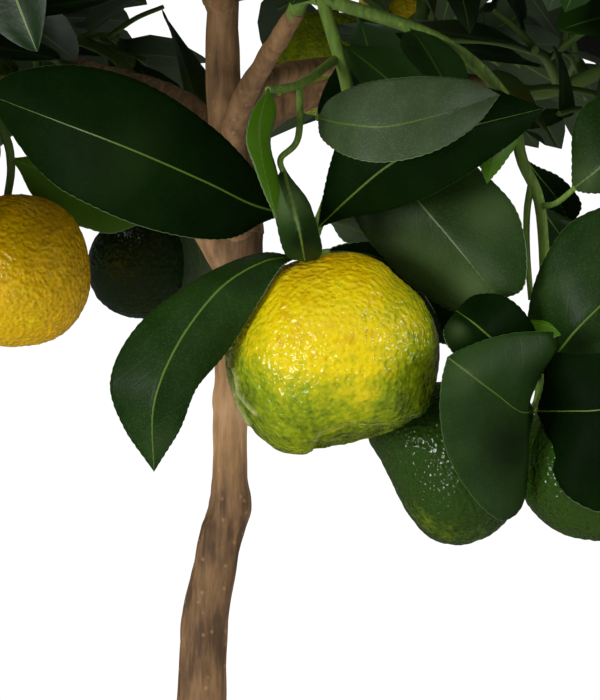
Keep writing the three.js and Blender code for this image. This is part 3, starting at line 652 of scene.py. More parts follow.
class LimeTreeColours(bpy.types.PropertyGroup):
    """Colours of the tree that a user may change."""

    clay: colour_choice("Clay", "#b5714c", "Fired clay of the pot")
    clay_pale: colour_choice("Pale clay", "#c98e6b", "Clay where salts have dried")
    mix: colour_choice("Potting mix", "#33241a", "Moist composted bark")
    mix_pale: colour_choice("Pale crumbs", "#6b4f38", "Drier crumbs of bark")
    bark: colour_choice("Bark", "#a07a50", "Raised bark")
    bark_dark: colour_choice("Dark bark", "#573f26", "Bark in the furrows")
    # The palest bark, which painted light on the trunk reaches
    bark_fresh: colour_choice("Fresh bark", "#cfa87c", "Bark over a swelling")
    twig: colour_choice("Green twig", "#4f6a25", "Bark of this year's twigs")
    # A paler copy of the twig green: painted light on the front spray's shaded twigs
    twig_fresh: colour_choice("Fresh twig", "#7a9a3a", "Bark of the fruiting twigs")
    leaf_deep: colour_choice("Shaded leaf", "#0a1b05", "Oldest and darkest leaves")
    leaf_mid: colour_choice("Leaf", "#162e09", "Grown leaves")
    leaf_sheen: colour_choice("Waxed leaf", "#1f3910", "Leaves with the palest wax")
    # Also painted light on the leaf seen on its edge and on the hung left leaf
    leaf_bright: colour_choice("Young leaf", "#3f6a04", "Young leaves")
    bough_deep: colour_choice("Bough's shaded leaf", "#0f2407", "Oldest leaves out of the picture")
    bough_mid: colour_choice("Bough's leaf", "#1b380c", "Grown leaves out of the picture")
    bough_sheen: colour_choice("Bough's waxed leaf", "#264319", "Palest waxed leaves out of the picture")
    bough_bright: colour_choice("Bough's young leaf", "#355a09", "Young leaves out of the picture")
    leaf_under: colour_choice("Leaf underside", "#35452a", "Underside of the leaves")
    midrib: colour_choice("Midrib", "#4f6a16", "Midribs and petioles")
    fleck: colour_choice("Leaf flecks", "#3a5226", "Oil glands and thin wax on grown leaves")
    # The greyer green of a painted sheen on the front leaves
    bloom: colour_choice("Painted leaf sheen", "#54693c", "Greyer green painted where a front leaf shows a sheen")
    margin: colour_choice("Leaf margin", "#587244", "Thin pale margin of the leaves")
    peel_green: colour_choice("Green peel", "#2a4411", "Unripe peel")
    peel_turning: colour_choice("Turning peel", "#86970c", "Peel that turns from green to yellow")
    peel_yellow: colour_choice("Yellow peel", "#dfc60a", "Ripe peel")
    peel_gold: colour_choice("Golden peel", "#c9a103", "Riper peel")
    # Brighter than the golden peel: besides the ripest rind, it paints light on the top of the shaded left
    # fruit
    peel_deep_gold: colour_choice("Deep gold peel", "#ebba04", "Ripest peel")
    cork: colour_choice("Cork", "#b6b57a", "Corky ridges on the peel")
    floor: colour_choice("Floor", "#f4f4f2", "Pale painted floor")


# Numbers and arrays


def unit(ways):
    """The same directions at length one."""
    ways = np.asarray(ways, float)
    return ways / np.maximum(np.linalg.norm(ways, axis=-1, keepdims=True), TINY)


def turns(sides):
    """Even angles once round, in radians."""
    return np.arange(sides) * 2 * np.pi / sides


def bell(away, width):
    """The bell curve: e to minus the square of a distance in widths."""
    return np.exp(-((away / width) ** 2))


def chances(seed):
    """The even chance numbers that steer twigs and leaves: state times a plus c, kept to 32 bits."""
    state = seed
    while True:
        state = (state * 1664525 + 1013904223) & 0xFFFFFFFF
        yield state / 2**32


def ripples(places, size, seed, count=48):
    """Smooth noise of unit spread: the sum of even waves, one size long, that run every way."""
    draw = np.random.default_rng(seed)
    ways = unit(draw.normal(size=(count, 3)))
    phases = draw.uniform(0, 2 * np.pi, count)
    waves = np.cos((places / np.asarray(size, float)) @ (2 * np.pi * ways.T) + phases)
    return waves.sum(-1) * np.sqrt(2.0 / count)


def between(a, b, c, d, w):
    """The value at share w of the way from b to c, with a before them and d after: the cubic whose
    slope at either end is half the step from the value before it to the one after it."""
    return b + 0.5 * w * (c - a + w * (2 * a - 5 * b + 4 * c - d + w * (3 * (b - c) + d - a)))


def curve(places, t):
    """Points at shares t of a smooth curve through the places, by one such cubic to a stretch."""
    places = np.asarray(places, float)
    padded = np.vstack([2 * places[0] - places[1], places, 2 * places[-1] - places[-2]])
    at = np.clip(np.asarray(t, float), 0, 1) * (len(places) - 1)
    first = np.minimum(at.astype(int), len(places) - 2)
    return between(*(padded[first + k] for k in range(4)), (at - first)[..., None])


def course(places, t):
    """The curve's direction at shares t, from two points a ten thousandth to either side."""
    t = np.asarray(t, float)
    return unit(curve(places, np.minimum(t + 1e-4, 1)) - curve(places, np.maximum(t - 1e-4, 0)))


def curve_length(places):
    """The curve's length as 200 chords."""
    return np.linalg.norm(np.diff(curve(places, np.linspace(0, 1, 201)), axis=0), axis=-1).sum()


def travelled(places):
    """How far along its line each place lies: the sum of the chords before it."""
    return np.concatenate([[0], np.cumsum(np.linalg.norm(np.diff(places, axis=0), axis=-1))])


def closed_curve(at, bearings, values):
    """Values round a closed outline at any bearing, by such cubics through the given ones."""
    b = np.concatenate([bearings[-2:] - 2 * np.pi, bearings, bearings[:2] + 2 * np.pi])
    v = np.concatenate([values[-2:], values, values[:2]])
    k = np.clip(np.searchsorted(b, at, side="right") - 1, 1, len(b) - 3)
    return between(v[k - 1], v[k], v[k + 1], v[k + 2], (at - b[k]) / (b[k + 1] - b[k]))


def scale_at(y):
    """Pixels to a millimetre at a depth: it falls as one over the distance from the eye."""
    return EYE["scale"] * (EYE["sharp_at"] - EYE["y"]) / (y - EYE["y"])


def seen(places):
    """Places in the model of picture columns, rows and depths."""
    column, row, y = np.moveaxis(np.asarray(places, float), -1, 0)
    scale = scale_at(y)
    x = EYE["x"] + (column - PICTURE["column"]) / scale
    return np.stack([x, y, EYE["z"] - (row - PICTURE["row"]) / scale], -1)


def picture_of(spots):
    """Picture columns and rows of places in the model."""
    scale = scale_at(spots[..., 1])
    column = PICTURE["column"] + (spots[..., 0] - EYE["x"]) * scale
    return column, PICTURE["row"] - (spots[..., 2] - EYE["z"]) * scale


def shows_below(spots):
    """True where a spot would show in the part of the picture that only the front spray fills."""
    column, row = picture_of(spots)
    inside = (column > OPEN_BELOW["left"]) & (column < OPEN_BELOW["right"])
    return inside & (row > OPEN_BELOW["row"])


def distance_to(spots, starts, ends):
    """Distances from each spot to each stretch, as an array of spots by stretches."""
    way = ends - starts
    long = np.maximum((way**2).sum(-1), TINY)
    t = np.clip(((spots[:, None] - starts) * way).sum(-1) / long, 0, 1)
    return np.linalg.norm(spots[:, None] - (starts + t[..., None] * way), axis=-1)


def line_distance(spots, line):
    """Distance in the picture from spots to a line of columns and rows, in pixels."""
    line = np.array(line, float)
    return distance_to(np.stack(picture_of(spots), -1), line[:-1], line[1:]).min(1)


def square_to(way):
    """Two directions square to a given one, as the solids have them: side, and over it."""
    side = unit(np.cross(way, RIGHT if abs(way[2]) > STEEP else UP))
    return side, np.cross(side, way)


def leaning(way, lean, turn):
    """A direction that leans off another by one angle, to the side that a turn round it gives."""
    side, over = square_to(way)
    return way * math.cos(lean) + math.sin(lean) * (math.cos(turn) * side + math.sin(turn) * over)


# Closed skins


def skins(rings, starts, ends):
    """Closed skins, one for each run of rings. Rings are count by rows by sides, and run anticlockwise
    seen against the way from start to end. A fan closes each end. Gives places, quads and fans."""
    count, rows, sides = rings.shape[:3]
    size = rows * sides + 2
    places = np.concatenate([rings.reshape(count, -1, 3), starts[:, None], ends[:, None]], axis=1)
    here = np.arange(rows * sides).reshape(rows, sides)
    after = np.roll(here, -1, axis=1)
    quads = np.stack([here[:-1], after[:-1], after[1:], here[1:]], -1).reshape(-1, 4)
    foot = np.stack([np.full(sides, size - 2), after[0], here[0]], -1)
    tip = np.stack([np.full(sides, size - 1), here[-1], after[-1]], -1)
    fans = np.concatenate([foot, tip])
    shift = (np.arange(count) * size)[:, None, None]
    return {
        "places": places.reshape(-1, 3),
        "quads": (quads + shift).reshape(-1, 4),
        "fans": (fans + shift).reshape(-1, 3),
    }


def turned_rings(profile, sides, lobes=1):
    """Rings of a turned shape from radius and height pairs, with the radius times its lobes."""
    turn = turns(sides)
    r, z = profile[:, 0, None] * lobes, profile[:, 1, None]
    return np.stack([r * np.cos(turn), r * np.sin(turn), z + 0 * turn], -1)


def tube(places, radii, rows, sides):
    """A round limb: circles square to a curve, with radii eased along it."""
    t = np.linspace(0, 1, rows)
    centre, way = curve(places, t), course(places, t)
    level = abs(unit(centre[-1] - centre[0])[2]) < STEEP
    side = unit(np.cross(UP if level else RIGHT, way))
    over = np.cross(way, side)
    turn = turns(sides)[:, None]
    radius = np.interp(t, np.linspace(0, 1, len(radii)), radii)[:, None, None]
    return centre[:, None] + radius * (np.cos(turn) * side[:, None] + np.sin(turn) * over[:, None])


def tubes(runs):
    """Closed skins over tubes of the same rows and sides, closed at the middle of both ends."""
    rings = np.stack(runs)
    return skins(rings, rings[:, 0].mean(1), rings[:, -1].mean(1))


def finish_places(part, kind):
    """The finish of each quad or fan of a skin, the first where none is given."""
    return np.broadcast_to(part.get(kind + "_finish", 0), len(part[kind + "s"]))


def joined(parts):
    """Several skins as one, each with the finish of its faces and its values at its points."""
    shift = np.cumsum([0] + [len(part["places"]) for part in parts])
    made = {"places": np.concatenate([part["places"] for part in parts])}
    for kind in ("quad", "fan"):
        made[kind + "s"] = np.concatenate([part[kind + "s"] + s for part, s in zip(parts, shift)])
        made[kind + "_finish"] = np.concatenate([finish_places(part, kind) for part in parts])
    if "blade" in parts[0]:
        made["blade"] = np.concatenate([part["blade"] for part in parts])
    return made


def linked(name, data):
    """A new object of the scene with the given data."""
    made = bpy.data.objects.new(name, data)
    bpy.context.scene.collection.objects.link(made)
    return made


def make_mesh(name, part, finishes):
    """A mesh object at the origin from one skin, smooth but for its folds."""
    mesh = bpy.data.meshes.new(name)
    mesh.from_pydata(part["places"] * MM, [], part["quads"].tolist() + part["fans"].tolist())
    mesh.polygons.foreach_set("use_smooth", np.ones(len(mesh.polygons), bool))
    places = np.concatenate([finish_places(part, kind) for kind in ("quad", "fan")])
    mesh.polygons.foreach_set("material_index", places.astype(np.int32))
    for finish in finishes:
        mesh.materials.append(finish)
    for key in ("grade", "scar", "tone", "blade"):
        if key in part:
            kind, field = ("FLOAT_VECTOR", "vector") if key == "blade" else ("FLOAT", "value")
            layer = mesh.attributes.new(key, kind, "POINT")
            layer.data.foreach_set(field, part[key].astype(np.float32).ravel())
    mesh.update()
    mesh.set_sharp_from_angle(angle=math.radians(SHARP_FROM))
    return linked(name, mesh)


def make_piece(name, part, finishes, slot, *nodes):
    """A piece from one skin that rides on the body and stands for the solids."""
    piece = make_mesh(name, part, finishes)
    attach(piece, "root")
    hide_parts(*nodes)


# Finishes


def shade(colour, share):
    """A colour times a share, no channel past white."""
    return tuple(min(1.0, c * share) for c in colour[:3]) + (1.0,)


def per_metre(pattern):
    """How many times a pattern of a real size repeats in a metre."""
    return 1 / (PATTERN[pattern] * MM)


def set_inputs(tree, node, inputs):
    """Gives a node's inputs values or links: by name, or in the order of its live inputs. A node that
    is given as a value stands for its first live output."""
    if isinstance(inputs, dict):
        pairs = [(node.inputs[key], value) for key, value in inputs.items()]
    else:
        pairs = zip([socket for socket in node.inputs if socket.enabled], inputs)
    for socket, value in pairs:
        if isinstance(value, bpy.types.Node):
            value = next(output for output in value.outputs if output.enabled)
        if isinstance(value, bpy.types.NodeSocket):
            tree.links.new(value, socket)
        else:
            socket.default_value = value


def add_node(tree, kind, inputs=(), stops=(), **settings):
    """One node of a material: settings are its attributes, and inputs are as set_inputs takes them.
    Stops are the places and colours of a ramp, its two ends first."""
    made = tree.nodes.new("ShaderNode" + kind)
    for key, value in settings.items():
        setattr(made, key, value)
    set_inputs(tree, made, inputs)
    for i, (place, colour) in enumerate(stops):
        elements = made.color_ramp.elements
        element = elements[i] if i < 2 else elements.new(place)
        element.position = place
        element.color = colour
    return made


def new_finish(name, **constants):
    """A material with a Principled shader whose constant sockets are set. Gives it, its tree, its
    shader and the place on the object."""
    finish = bpy.data.materials.new(name)
    finish.use_nodes = True
    tree = finish.node_tree
    shader = tree.nodes["Principled BSDF"]
    set_inputs(tree, shader, {key.replace("_", " "): value for key, value in constants.items()})
    return finish, tree, shader, add_node(tree, "TexCoord").outputs["Object"]


def leaf_finish(name, colour, pale, bloom, roughness, wax):
    """Waxed citrus leaf: oil glands 0.2 mm wide dimple the cuticle, and faint side veins leave the
    midrib and lean towards the tip. The eye gets a dark green with a soft broad sheen. Where the blade's
    third value is above nought a painted sheen greys it, and below nought painted shade darkens it."""
    finish, tree, shader, place = new_finish(
        name, Roughness=roughness, IOR=CUTICLE_IOR, Specular_IOR_Level=wax
    )
    glands = add_node(tree, "TexVoronoi", (place, per_metre("leaf_gland")), feature="F1")
    spots = add_node(tree, "MapRange", (glands, 0.05, 0.4, 1, 0))
    cloud = add_node(tree, "TexNoise", (place, per_metre("leaf_cloud"), 4))
    blade = add_node(tree, "Attribute", attribute_name="blade").outputs["Vector"]
    along, across, thick = add_node(tree, "SeparateXYZ", (blade,)).outputs
    outward = add_node(tree, "Math", (across,), operation="ABSOLUTE")
    lean = add_node(tree, "Math", (outward, VEIN_LEAN), operation="MULTIPLY")
    run = add_node(tree, "Math", (along, lean), operation="SUBTRACT")
    saw = add_node(tree, "Math", (run, PATTERN["half_vein"]), operation="PINGPONG")
    vein = add_node(tree, "MapRange", (saw, 0, 0.5, 1, 0), interpolation_type="SMOOTHSTEP")
    tint = add_node(tree, "MapRange", (cloud, 0.35, 0.7, 0, 0.22))
    lines = add_node(tree, "Math", (vein, 0.05), operation="MULTIPLY")
    dots = add_node(tree, "Math", (spots, 0.5), operation="MULTIPLY")
    some = add_node(tree, "Math", (tint, lines), operation="ADD")
    share = add_node(tree, "Math", (some, dots), operation="ADD")
    base = add_node(tree, "Mix", (share, colour, pale), data_type="RGBA")
    # Painted sheen: above nought the third value mixes in the greyer green. Painted shade: below nought it
    # darkens the leaf towards a fifth of its green
    waxed = add_node(tree, "Mix", (thick, base, bloom), data_type="RGBA")
    painted_shade_share = add_node(tree, "Math", (thick, -1), operation="MULTIPLY")
    skin = add_node(tree, "Mix", (painted_shade_share, waxed, shade(colour, 0.2)), data_type="RGBA")
    dimples = {"Height": spots, "Strength": 0.35, "Distance": 0.06 * MM}
    swells = {"Height": cloud, "Strength": 0.5, "Distance": 0.6 * MM}
    veins = {"Height": vein, "Strength": 0.25, "Distance": 0.1 * MM}
    relief = {}
    for layer in (dimples, swells, veins):
        relief = {"Normal": add_node(tree, "Bump", layer | relief)}
    set_inputs(tree, shader, {"Base Color": skin} | relief)
    return finish


def bough_leaf_finish(name, colour, roughness, wax):
    """The same waxed leaf out of the picture: one plain green to a spray, with a clouded cuticle."""
    finish, tree, shader, place = new_finish(
        name, Base_Color=colour, Roughness=roughness, IOR=CUTICLE_IOR, Specular_IOR_Level=wax
    )
    cloud = add_node(tree, "TexNoise", (place, per_metre("bough_leaf_cloud"), 4))
    swells = add_node(tree, "Bump", {"Height": cloud, "Strength": 0.5, "Distance": 0.8 * MM})
    set_inputs(tree, shader, {"Normal": swells})
    return finish


def rib_finish(name, colour):
    """Midrib, petiole or margin: firm pale tissue with a satin face and fine length lines."""
    finish, tree, shader, place = new_finish(name, Base_Color=colour, Roughness=0.5)
    grain = add_node(tree, "TexNoise", (place, per_metre("rib_grain"), 3))
    lines = add_node(tree, "Bump", {"Height": grain, "Strength": 0.3, "Distance": 0.1 * MM})
    set_inputs(tree, shader, {"Normal": lines})
    return finish


def new_rind(name):
    """Oily citrus rind without its colour: glands pit it under a finer grain, and give the eye many
    small glints. Gives its patches and flecks too."""
    finish, tree, shader, place = new_finish(name, Roughness=0.2, IOR=1.45)
    patches = add_node(tree, "TexNoise", (place, per_metre("peel_patch"), 5, 0.6))
    flecks = add_node(tree, "TexNoise", (place, per_metre("peel_fleck"), 2))
    glands = add_node(tree, "TexVoronoi", (place, per_metre("peel_gland")), feature="SMOOTH_F1")
    pits = add_node(tree, "Bump", {"Height": glands, "Strength": 1, "Distance": 0.7 * MM})
    finer = {"Height": flecks, "Normal": pits, "Strength": 0.5, "Distance": 0.3 * MM}
    set_inputs(tree, shader, {"Normal": add_node(tree, "Bump", finer)})
    return finish, tree, shader, patches, flecks


def peel_finish(name, green, turning, yellow, gold, deep_gold, corky):
    """Citrus peel that turns from green to gold by its grade, in patches and flecks, and evener while
    it is green. The eye gets a saturated colour, and pale cork where it is scarred."""
    finish, tree, shader, patches, flecks = new_rind(name)
    grade = add_node(tree, "Attribute", attribute_name="grade").outputs["Fac"]
    scar = add_node(tree, "Attribute", attribute_name="scar").outputs["Fac"]
    broad = add_node(tree, "MapRange", (patches, 0.3, 0.7, -0.085, 0.085))
    fine = add_node(tree, "MapRange", (flecks, 0.3, 0.7, -0.05, 0.05))
    strength = add_node(tree, "MapRange", (grade, 0.3, 0.45, 0.3, 1))
    pattern = add_node(tree, "Math", (broad, fine), operation="ADD")
    some = add_node(tree, "Math", (pattern, strength), operation="MULTIPLY")
    ripe = add_node(tree, "Math", (grade, some), operation="ADD")
    # The first stop, a third of the green, is painted shade on the rear fruit and on the lower fruit's
    # top. The last, the bright deep gold, is partly painted light on the left fruit's top
    stops = [
        (0, shade(green, 0.35)), (1, deep_gold), (0.1, green), (0.3, green), (0.47, turning),
        (0.72, yellow), (0.88, gold),
    ]
    ramp = add_node(tree, "ValToRGB", (ripe,), stops)
    scarred = add_node(tree, "Mix", (scar, ramp, corky), data_type="RGBA")
    set_inputs(tree, shader, {"Base Color": scarred})
    return finish


def bough_peel_finish(name, colour, turned, most):
    """The same rind out of the picture, with one base colour to a fruit. Patches of it have begun to
    turn. The eye gets a rind that ripens unevenly."""
    finish, tree, shader, patches, _ = new_rind(name)
    share = add_node(tree, "MapRange", (patches, 0.4, 0.65, 0, most))
    base = add_node(tree, "Mix", (share, colour, turned), data_type="RGBA")
    set_inputs(tree, shader, {"Base Color": base})
    return finish


def bark_finish(name, raised, furrow, lit_colour, grain_width):
    """Thin young bark: matt, with length grain, pale lenticels 1 mm wide and darker furrows. Painted
    light, by the trunk's height, makes it paler where light falls on it and darker where it is shaded."""
    finish, tree, shader, place = new_finish(name, Roughness=0.78)
    drawn = add_node(tree, "Mapping", {"Vector": place, "Scale": (1, 1, 0.16)})
    grain = add_node(tree, "TexNoise", (drawn, 1 / (grain_width * MM), 6, 0.6))
    patches = add_node(tree, "TexNoise", (place, per_metre("bark_patch"), 3))
    both = add_node(tree, "Mix", (0.4, grain, patches), data_type="FLOAT")
    # Painted light: the trunk's points carry how much paler or darker the bark is painted at their height
    tone = add_node(tree, "Attribute", attribute_name="tone").outputs["Fac"]
    level = add_node(tree, "Math", (both, tone), operation="ADD")
    ramp = add_node(tree, "ValToRGB", (level,), [(0.36, furrow), (0.88, lit_colour), (0.62, raised)])
    pores = add_node(tree, "TexVoronoi", (place, per_metre("lenticel")), feature="F1")
    dots = add_node(tree, "MapRange", (pores, 0.1, 0.2, 0.4, 0))
    base = add_node(tree, "Mix", (dots, ramp, shade(raised, 1.5)), data_type="RGBA")
    ridges = add_node(tree, "Bump", {"Height": grain, "Strength": 0.6, "Distance": 0.4 * MM})
    set_inputs(tree, shader, {"Base Color": base, "Normal": ridges})
    return finish


def clay_finish(name, clay, pale):
    """Unglazed fired clay, thrown and scraped: matt and dusty, with fine grit, faint turning rings
    and blooms of dried salt."""
    finish, tree, shader, place = new_finish(name, Roughness=0.86)
    bloom = add_node(tree, "TexNoise", (place, per_metre("salt_bloom"), 6, 0.65))
    grit = add_node(tree, "TexNoise", (place, per_metre("grit"), 2))
    ring = add_node(tree, "Mapping", {"Vector": place, "Scale": (0.03, 0.03, 1)})
    rings = add_node(tree, "TexNoise", (ring, per_metre("turning_ring"), 3))
    mixed = add_node(tree, "Mix", (0.3, bloom, rings), data_type="FLOAT")
    ramp = add_node(tree, "ValToRGB", (mixed,), [(0.3, shade(clay, 0.78)), (0.7, pale), (0.5, clay)])
    grains = add_node(tree, "Bump", {"Height": grit, "Strength": 0.4, "Distance": 0.2 * MM})
    turned = {"Height": rings, "Normal": grains, "Strength": 0.5, "Distance": 0.5 * MM}
    set_inputs(tree, shader, {"Base Color": ramp, "Normal": add_node(tree, "Bump", turned)})
    return finish


def mix_finish(name, dark, pale):
    """Moist composted bark and fibre: crumbly, nearly black brown, with drier flecks."""
    finish, tree, shader, place = new_finish(name, Roughness=0.92)
    crumbs = add_node(tree, "TexNoise", (place, per_metre("mix_crumb"), 6, 0.7))
    ramp = add_node(tree, "ValToRGB", (crumbs,), [(0.4, dark), (0.72, pale)])
    rough = add_node(tree, "Bump", {"Height": crumbs, "Strength": 0.9, "Distance": 1.5 * MM})
    set_inputs(tree, shader, {"Base Color": ramp, "Normal": rough})
    return finish


# Each finish: its name, its maker, the colours that it takes, and then its other values, which are
# roughness and wax for a leaf, width of the grain for bark and most that has turned for a peel
FINISHES = {
    "clay": ("Unglazed fired clay", clay_finish, ("clay", "clay_pale")),
    "mix": ("Moist composted bark", mix_finish, ("mix", "mix_pale")),
    "crumb": ("Dry bark crumb", mix_finish, ("mix_pale", "bark")),
    "bark": ("Young citrus bark", bark_finish, ("bark", "bark_dark", "bark_fresh"), 2.4),
    "twig": ("Green twig bark", bark_finish, ("twig", "twig", "twig"), 1.2),
    "twig_fresh": ("Fruiting twig bark", bark_finish, ("twig_fresh", "twig", "twig_fresh"), 1.2),
    # Deep and sheen are darker and paler copies of the leaf green: painted shade and painted sheen on the
    # front leaves
    "deep": ("Waxed leaf, shaded", leaf_finish, ("leaf_deep", "leaf_mid", "bloom"), 0.45, 0.02),
    "mid": ("Waxed leaf, grown", leaf_finish, ("leaf_mid", "fleck", "bloom"), 0.4, 0.14),
    "sheen": ("Waxed leaf, pale wax", leaf_finish, ("leaf_sheen", "fleck", "bloom"), 0.42, 0.24),
    "bright": ("Waxed leaf, young", leaf_finish, ("leaf_bright", "midrib", "bloom"), 0.42, 0.2),
    "under": ("Leaf underside", leaf_finish, ("leaf_under", "margin", "bloom"), 0.5, 0.3),
    "bough_deep": ("Bough leaf, shaded", bough_leaf_finish, ("bough_deep",), 0.4, 0.3),
    "bough_mid": ("Bough leaf, grown", bough_leaf_finish, ("bough_mid",), 0.4, 0.3),
    "bough_sheen": ("Bough leaf, pale wax", bough_leaf_finish, ("bough_sheen",), 0.38, 0.4),
    "bough_bright": ("Bough leaf, young", bough_leaf_finish, ("bough_bright",), 0.42, 0.3),
    "bough_under": ("Bough leaf underside", bough_leaf_finish, ("leaf_under",), 0.5, 0.3),
    "rib": ("Midrib tissue", rib_finish, ("midrib",)),
    "margin": ("Leaf margin", rib_finish, ("margin",)),
    "peel": (
        "Oily citrus peel",
        peel_finish,
        ("peel_green", "peel_turning", "peel_yellow", "peel_gold", "peel_deep_gold", "cork"),
    ),
    "peel_green": (
        "Oily citrus peel, green", bough_peel_finish, ("peel_green", "peel_turning"), 0.12,
    ),
    "peel_turning": (
        "Oily citrus peel, turning", bough_peel_finish, ("peel_turning", "peel_green"), 0.5,
    ),
    "peel_yellow": (
        "Oily citrus peel, yellow", bough_peel_finish, ("peel_yellow", "peel_turning"), 0.7,
    ),
    "peel_gold": (
        "Oily citrus peel, golden", bough_peel_finish, ("peel_yellow", "peel_gold"), 0.9,
    ),
}


def finish_of(key):
    """A finish of the tree by its short name, made once."""
    name, maker, colours, *values = FINISHES[key]
    choices = bpy.context.scene.lime_colours
    taken = [tuple(getattr(choices, colour)) for colour in colours]
    return bpy.data.materials.get(name) or maker(name, *taken, *values)


def leaf_finishes(lead=""):
    """The finishes of a leaf piece in their order."""
    return [finish_of(lead + tint) for tint in TINTS] + [finish_of("rib"), finish_of("margin")]


# Limbs


def limb_lines():
    """Places and radii of the trunk and of every bough, each bough from its parent's line."""
    lines = {"trunk": np.array([(x, y, z) for z, x, y, _ in TRUNK], float)}
    radii = {"trunk": [station[3] for station in TRUNK]}
    for name, (parent, at, bends, width) in BOUGHS.items():
        lines[name] = np.vstack([curve(lines[parent], at), np.array(bends, float)])
        radii[name] = list(width)
    return lines, radii


def limb_end(name):
    """A limb's tip and the direction that it ends in."""
    line = limb_lines()[0][name]
    return curve(line, 1.0), course(line, 1.0)


def pushed_out(rings, height):
    """Rings whose points move out from their own middle by a height."""
    out = unit(rings - rings.mean(1, keepdims=True))
    return rings + out * height[..., None]


def barked(rings, relief, seed):
    """Rings with the bark's relief: long ridges and slow swells, pushed out from the limb's middle."""
    (ridge_size, ridge), (swell_size, swell) = BARK["ridges"], BARK["swells"]
    ridges = np.abs(ripples(rings, ridge_size, seed))
    swells = ripples(rings, swell_size, seed + 1)
    return pushed_out(rings, relief * (ridge * ridges + swell * swells))


def trunk_rings(relief):
    """The trunk: circles along its line, with root lobes that die out 20 mm up, and knots by the bell
    curve of the distance to each one's middle."""
    lines, radii = limb_lines()
    rings = tube(lines["trunk"], radii["trunk"], *TRUNK_GRID)
    up = np.clip(rings[..., 2] - MIX_TOP, 0, None)
    turn = np.arctan2(rings[..., 1], rings[..., 0])
    fading = ROOTS["height"] * np.exp(-up / ROOTS["dies_out"])
    rings = pushed_out(rings, fading * np.cos(ROOTS["lobes"] * turn + ROOTS["turned"]))
    knots = [
        height * bell(np.linalg.norm(rings - seen(place), axis=-1), width)
        for place, width, height in TRUNK_KNOTS
    ]
    rings = barked(pushed_out(rings, sum(knots)), relief, SEEDS["trunk"])
    rings[..., 2] = np.maximum(rings[..., 2], MIX_TOP + GAP)
    return rings


def bough_rings(name, relief, seed):
    """A bough: circles along its line, from inside its parent, with a collar at its foot."""
    lines, radii = limb_lines()
    rings = tube(lines[name], radii[name], *BOUGH_GRID)
    t = np.linspace(0, 1, len(rings))[:, None, None]
    middle = rings.mean(1, keepdims=True)
    collar = 1 + COLLAR["rise"] * bell(t, COLLAR["run"])
    return barked(middle + (rings - middle) * collar, relief * BARK["on_boughs"], seed)


# The rule of twigs and leaves


def limb_beads():
    """Points along every limb, with the room that leaves keep from them."""
    lines, radii = limb_lines()
    t = np.linspace(0, 1, 61)
    spots = [curve(lines[name], t) for name in lines]
    rooms = [np.interp(t, np.linspace(0, 1, len(radii[name])), radii[name]) for name in lines]
    return np.concatenate(spots), np.concatenate(rooms) + LIMB_ROOM


def more_beads(beads, groups):
    """Beads with further groups of spots, each with its own radius."""
    spots, rooms = beads
    wanted = [np.full(len(found), radius + LIMB_ROOM) for found, radius in groups]
    return np.vstack([spots, *(found for found, _ in groups)]), np.concatenate([rooms, *wanted])


def all_beads(own):
    """The limbs' beads with those of the front twigs and of the hung fruit of other masses."""
    groups = [(curve(seen(places), np.linspace(0, 1, 41)), 2) for _, places in FRONT_TWIGS]
    for name, hung in HUNG.items():
        if name != own:
            fruit = PICTURE_FRUIT[hung["fruit"]]
            groups += [
                (seen([fruit["place"]]), fruit["radius"]),
                (curve(seen(hung["twig"]), np.linspace(0, 1, 25)), 2),
                (curve(seen(hung["leaf"][1]), np.linspace(0, 1, 13)), 14),
            ]
    return more_beads(limb_beads(), groups)


def in_space(mass, spots):
    """True where every spot lies in the canopy, out of the open part of the picture, and nearer to
    the mass's own middle than to any other's. The front spray has its own room instead."""
    spots = np.atleast_2d(spots)
    if shows_below(spots).any():
        return False
    if mass == "front":
        low, high = np.array(FRONT_ROOM)
        return bool(((spots > low) & (spots < high)).all())
    share = (np.abs(spots - CANOPY["middle"]) / CANOPY["half"]) ** CANOPY["power"]
    own = np.array(MASSES[mass][0], float)
    others = np.array([MASSES[name][0] for name in MASSES if name != mass], float)
    away = own - others
    beyond = ((spots[:, None] - (own + others) / 2) * away).sum(-1) / np.linalg.norm(away, axis=-1)
    return bool((share.sum(-1) <= 1).all() and (beyond > CELL_ROOM).all())


def clear_of_front(mass, spots):
    """True where all spots lie beyond one and the same face of the front spray's room."""
    low, high = np.array(FRONT_ROOM, float)
    return mass == "front" or bool(((spots < low).all(0) | (spots > high).all(0)).any())


def clear_of(beads, starts, ends):
    """True where every bead keeps its room from every stretch."""
    spots, rooms = beads
    return bool((distance_to(spots, starts, ends) > rooms[:, None]).all())


def reach(mass, start, along):
    """How far a line runs from its start before it leaves the mass's space, in steps of 4 mm."""
    length = 0
    while length < 200 and in_space(mass, start + along * (length + 4)):
        length += 4
    return length


def stem_of(mass):
    """The stem of a mass: from its bough's tip to the middle of its space and a little beyond."""
    tip, along = limb_end(mass)
    start = tip + along * GAP
    heart = np.array(MASSES[mass][0], float)
    end = heart + STEM["beyond"] * unit(heart - start)
    return np.array([start, start + along * STEM["straight"], heart, end])


def twigs_of(mass, stem, chance):
    """The twigs of a mass, turned by the golden angle round its outward direction, and tilted so that
    they spread evenly over a cap of the ball. Each arches, and its end sags."""
    heart, count = np.array(MASSES[mass][0], float), MASSES[mass][1]
    outward = unit(heart - (np.array(CANOPY["middle"], float) - TWIG["from_below"] * UP))
    beads = limb_beads()
    found = []
    for k in range(count):
        start = curve(stem, TWIG["first_at"] + TWIG["run"] * k / (count - 1))
        turn = k * TWIG["golden"] + next(chance) * TWIG["turn_play"]
        tilt = math.acos(1 - TWIG["spread"] * (count - k - 0.5) / count)
        along = unit(leaning(outward, tilt, turn) + TWIG["lift"] * UP)
        length = min(reach(mass, start, along) - TWIG["end_room"], TWIG["longest"])
        end = start + along * max(length, TWIG["shortest"]) - TWIG["sag"] * length * UP
        bend = (start + end) / 2 + TWIG["arch"] * max(length, 0) * UP
        line = np.array([start, bend, end])
        if in_space(mass, end) and clear_of_front(mass, line) and clear_of(beads, line[1:2], line[2:3]):
            found.append(line)
    return found


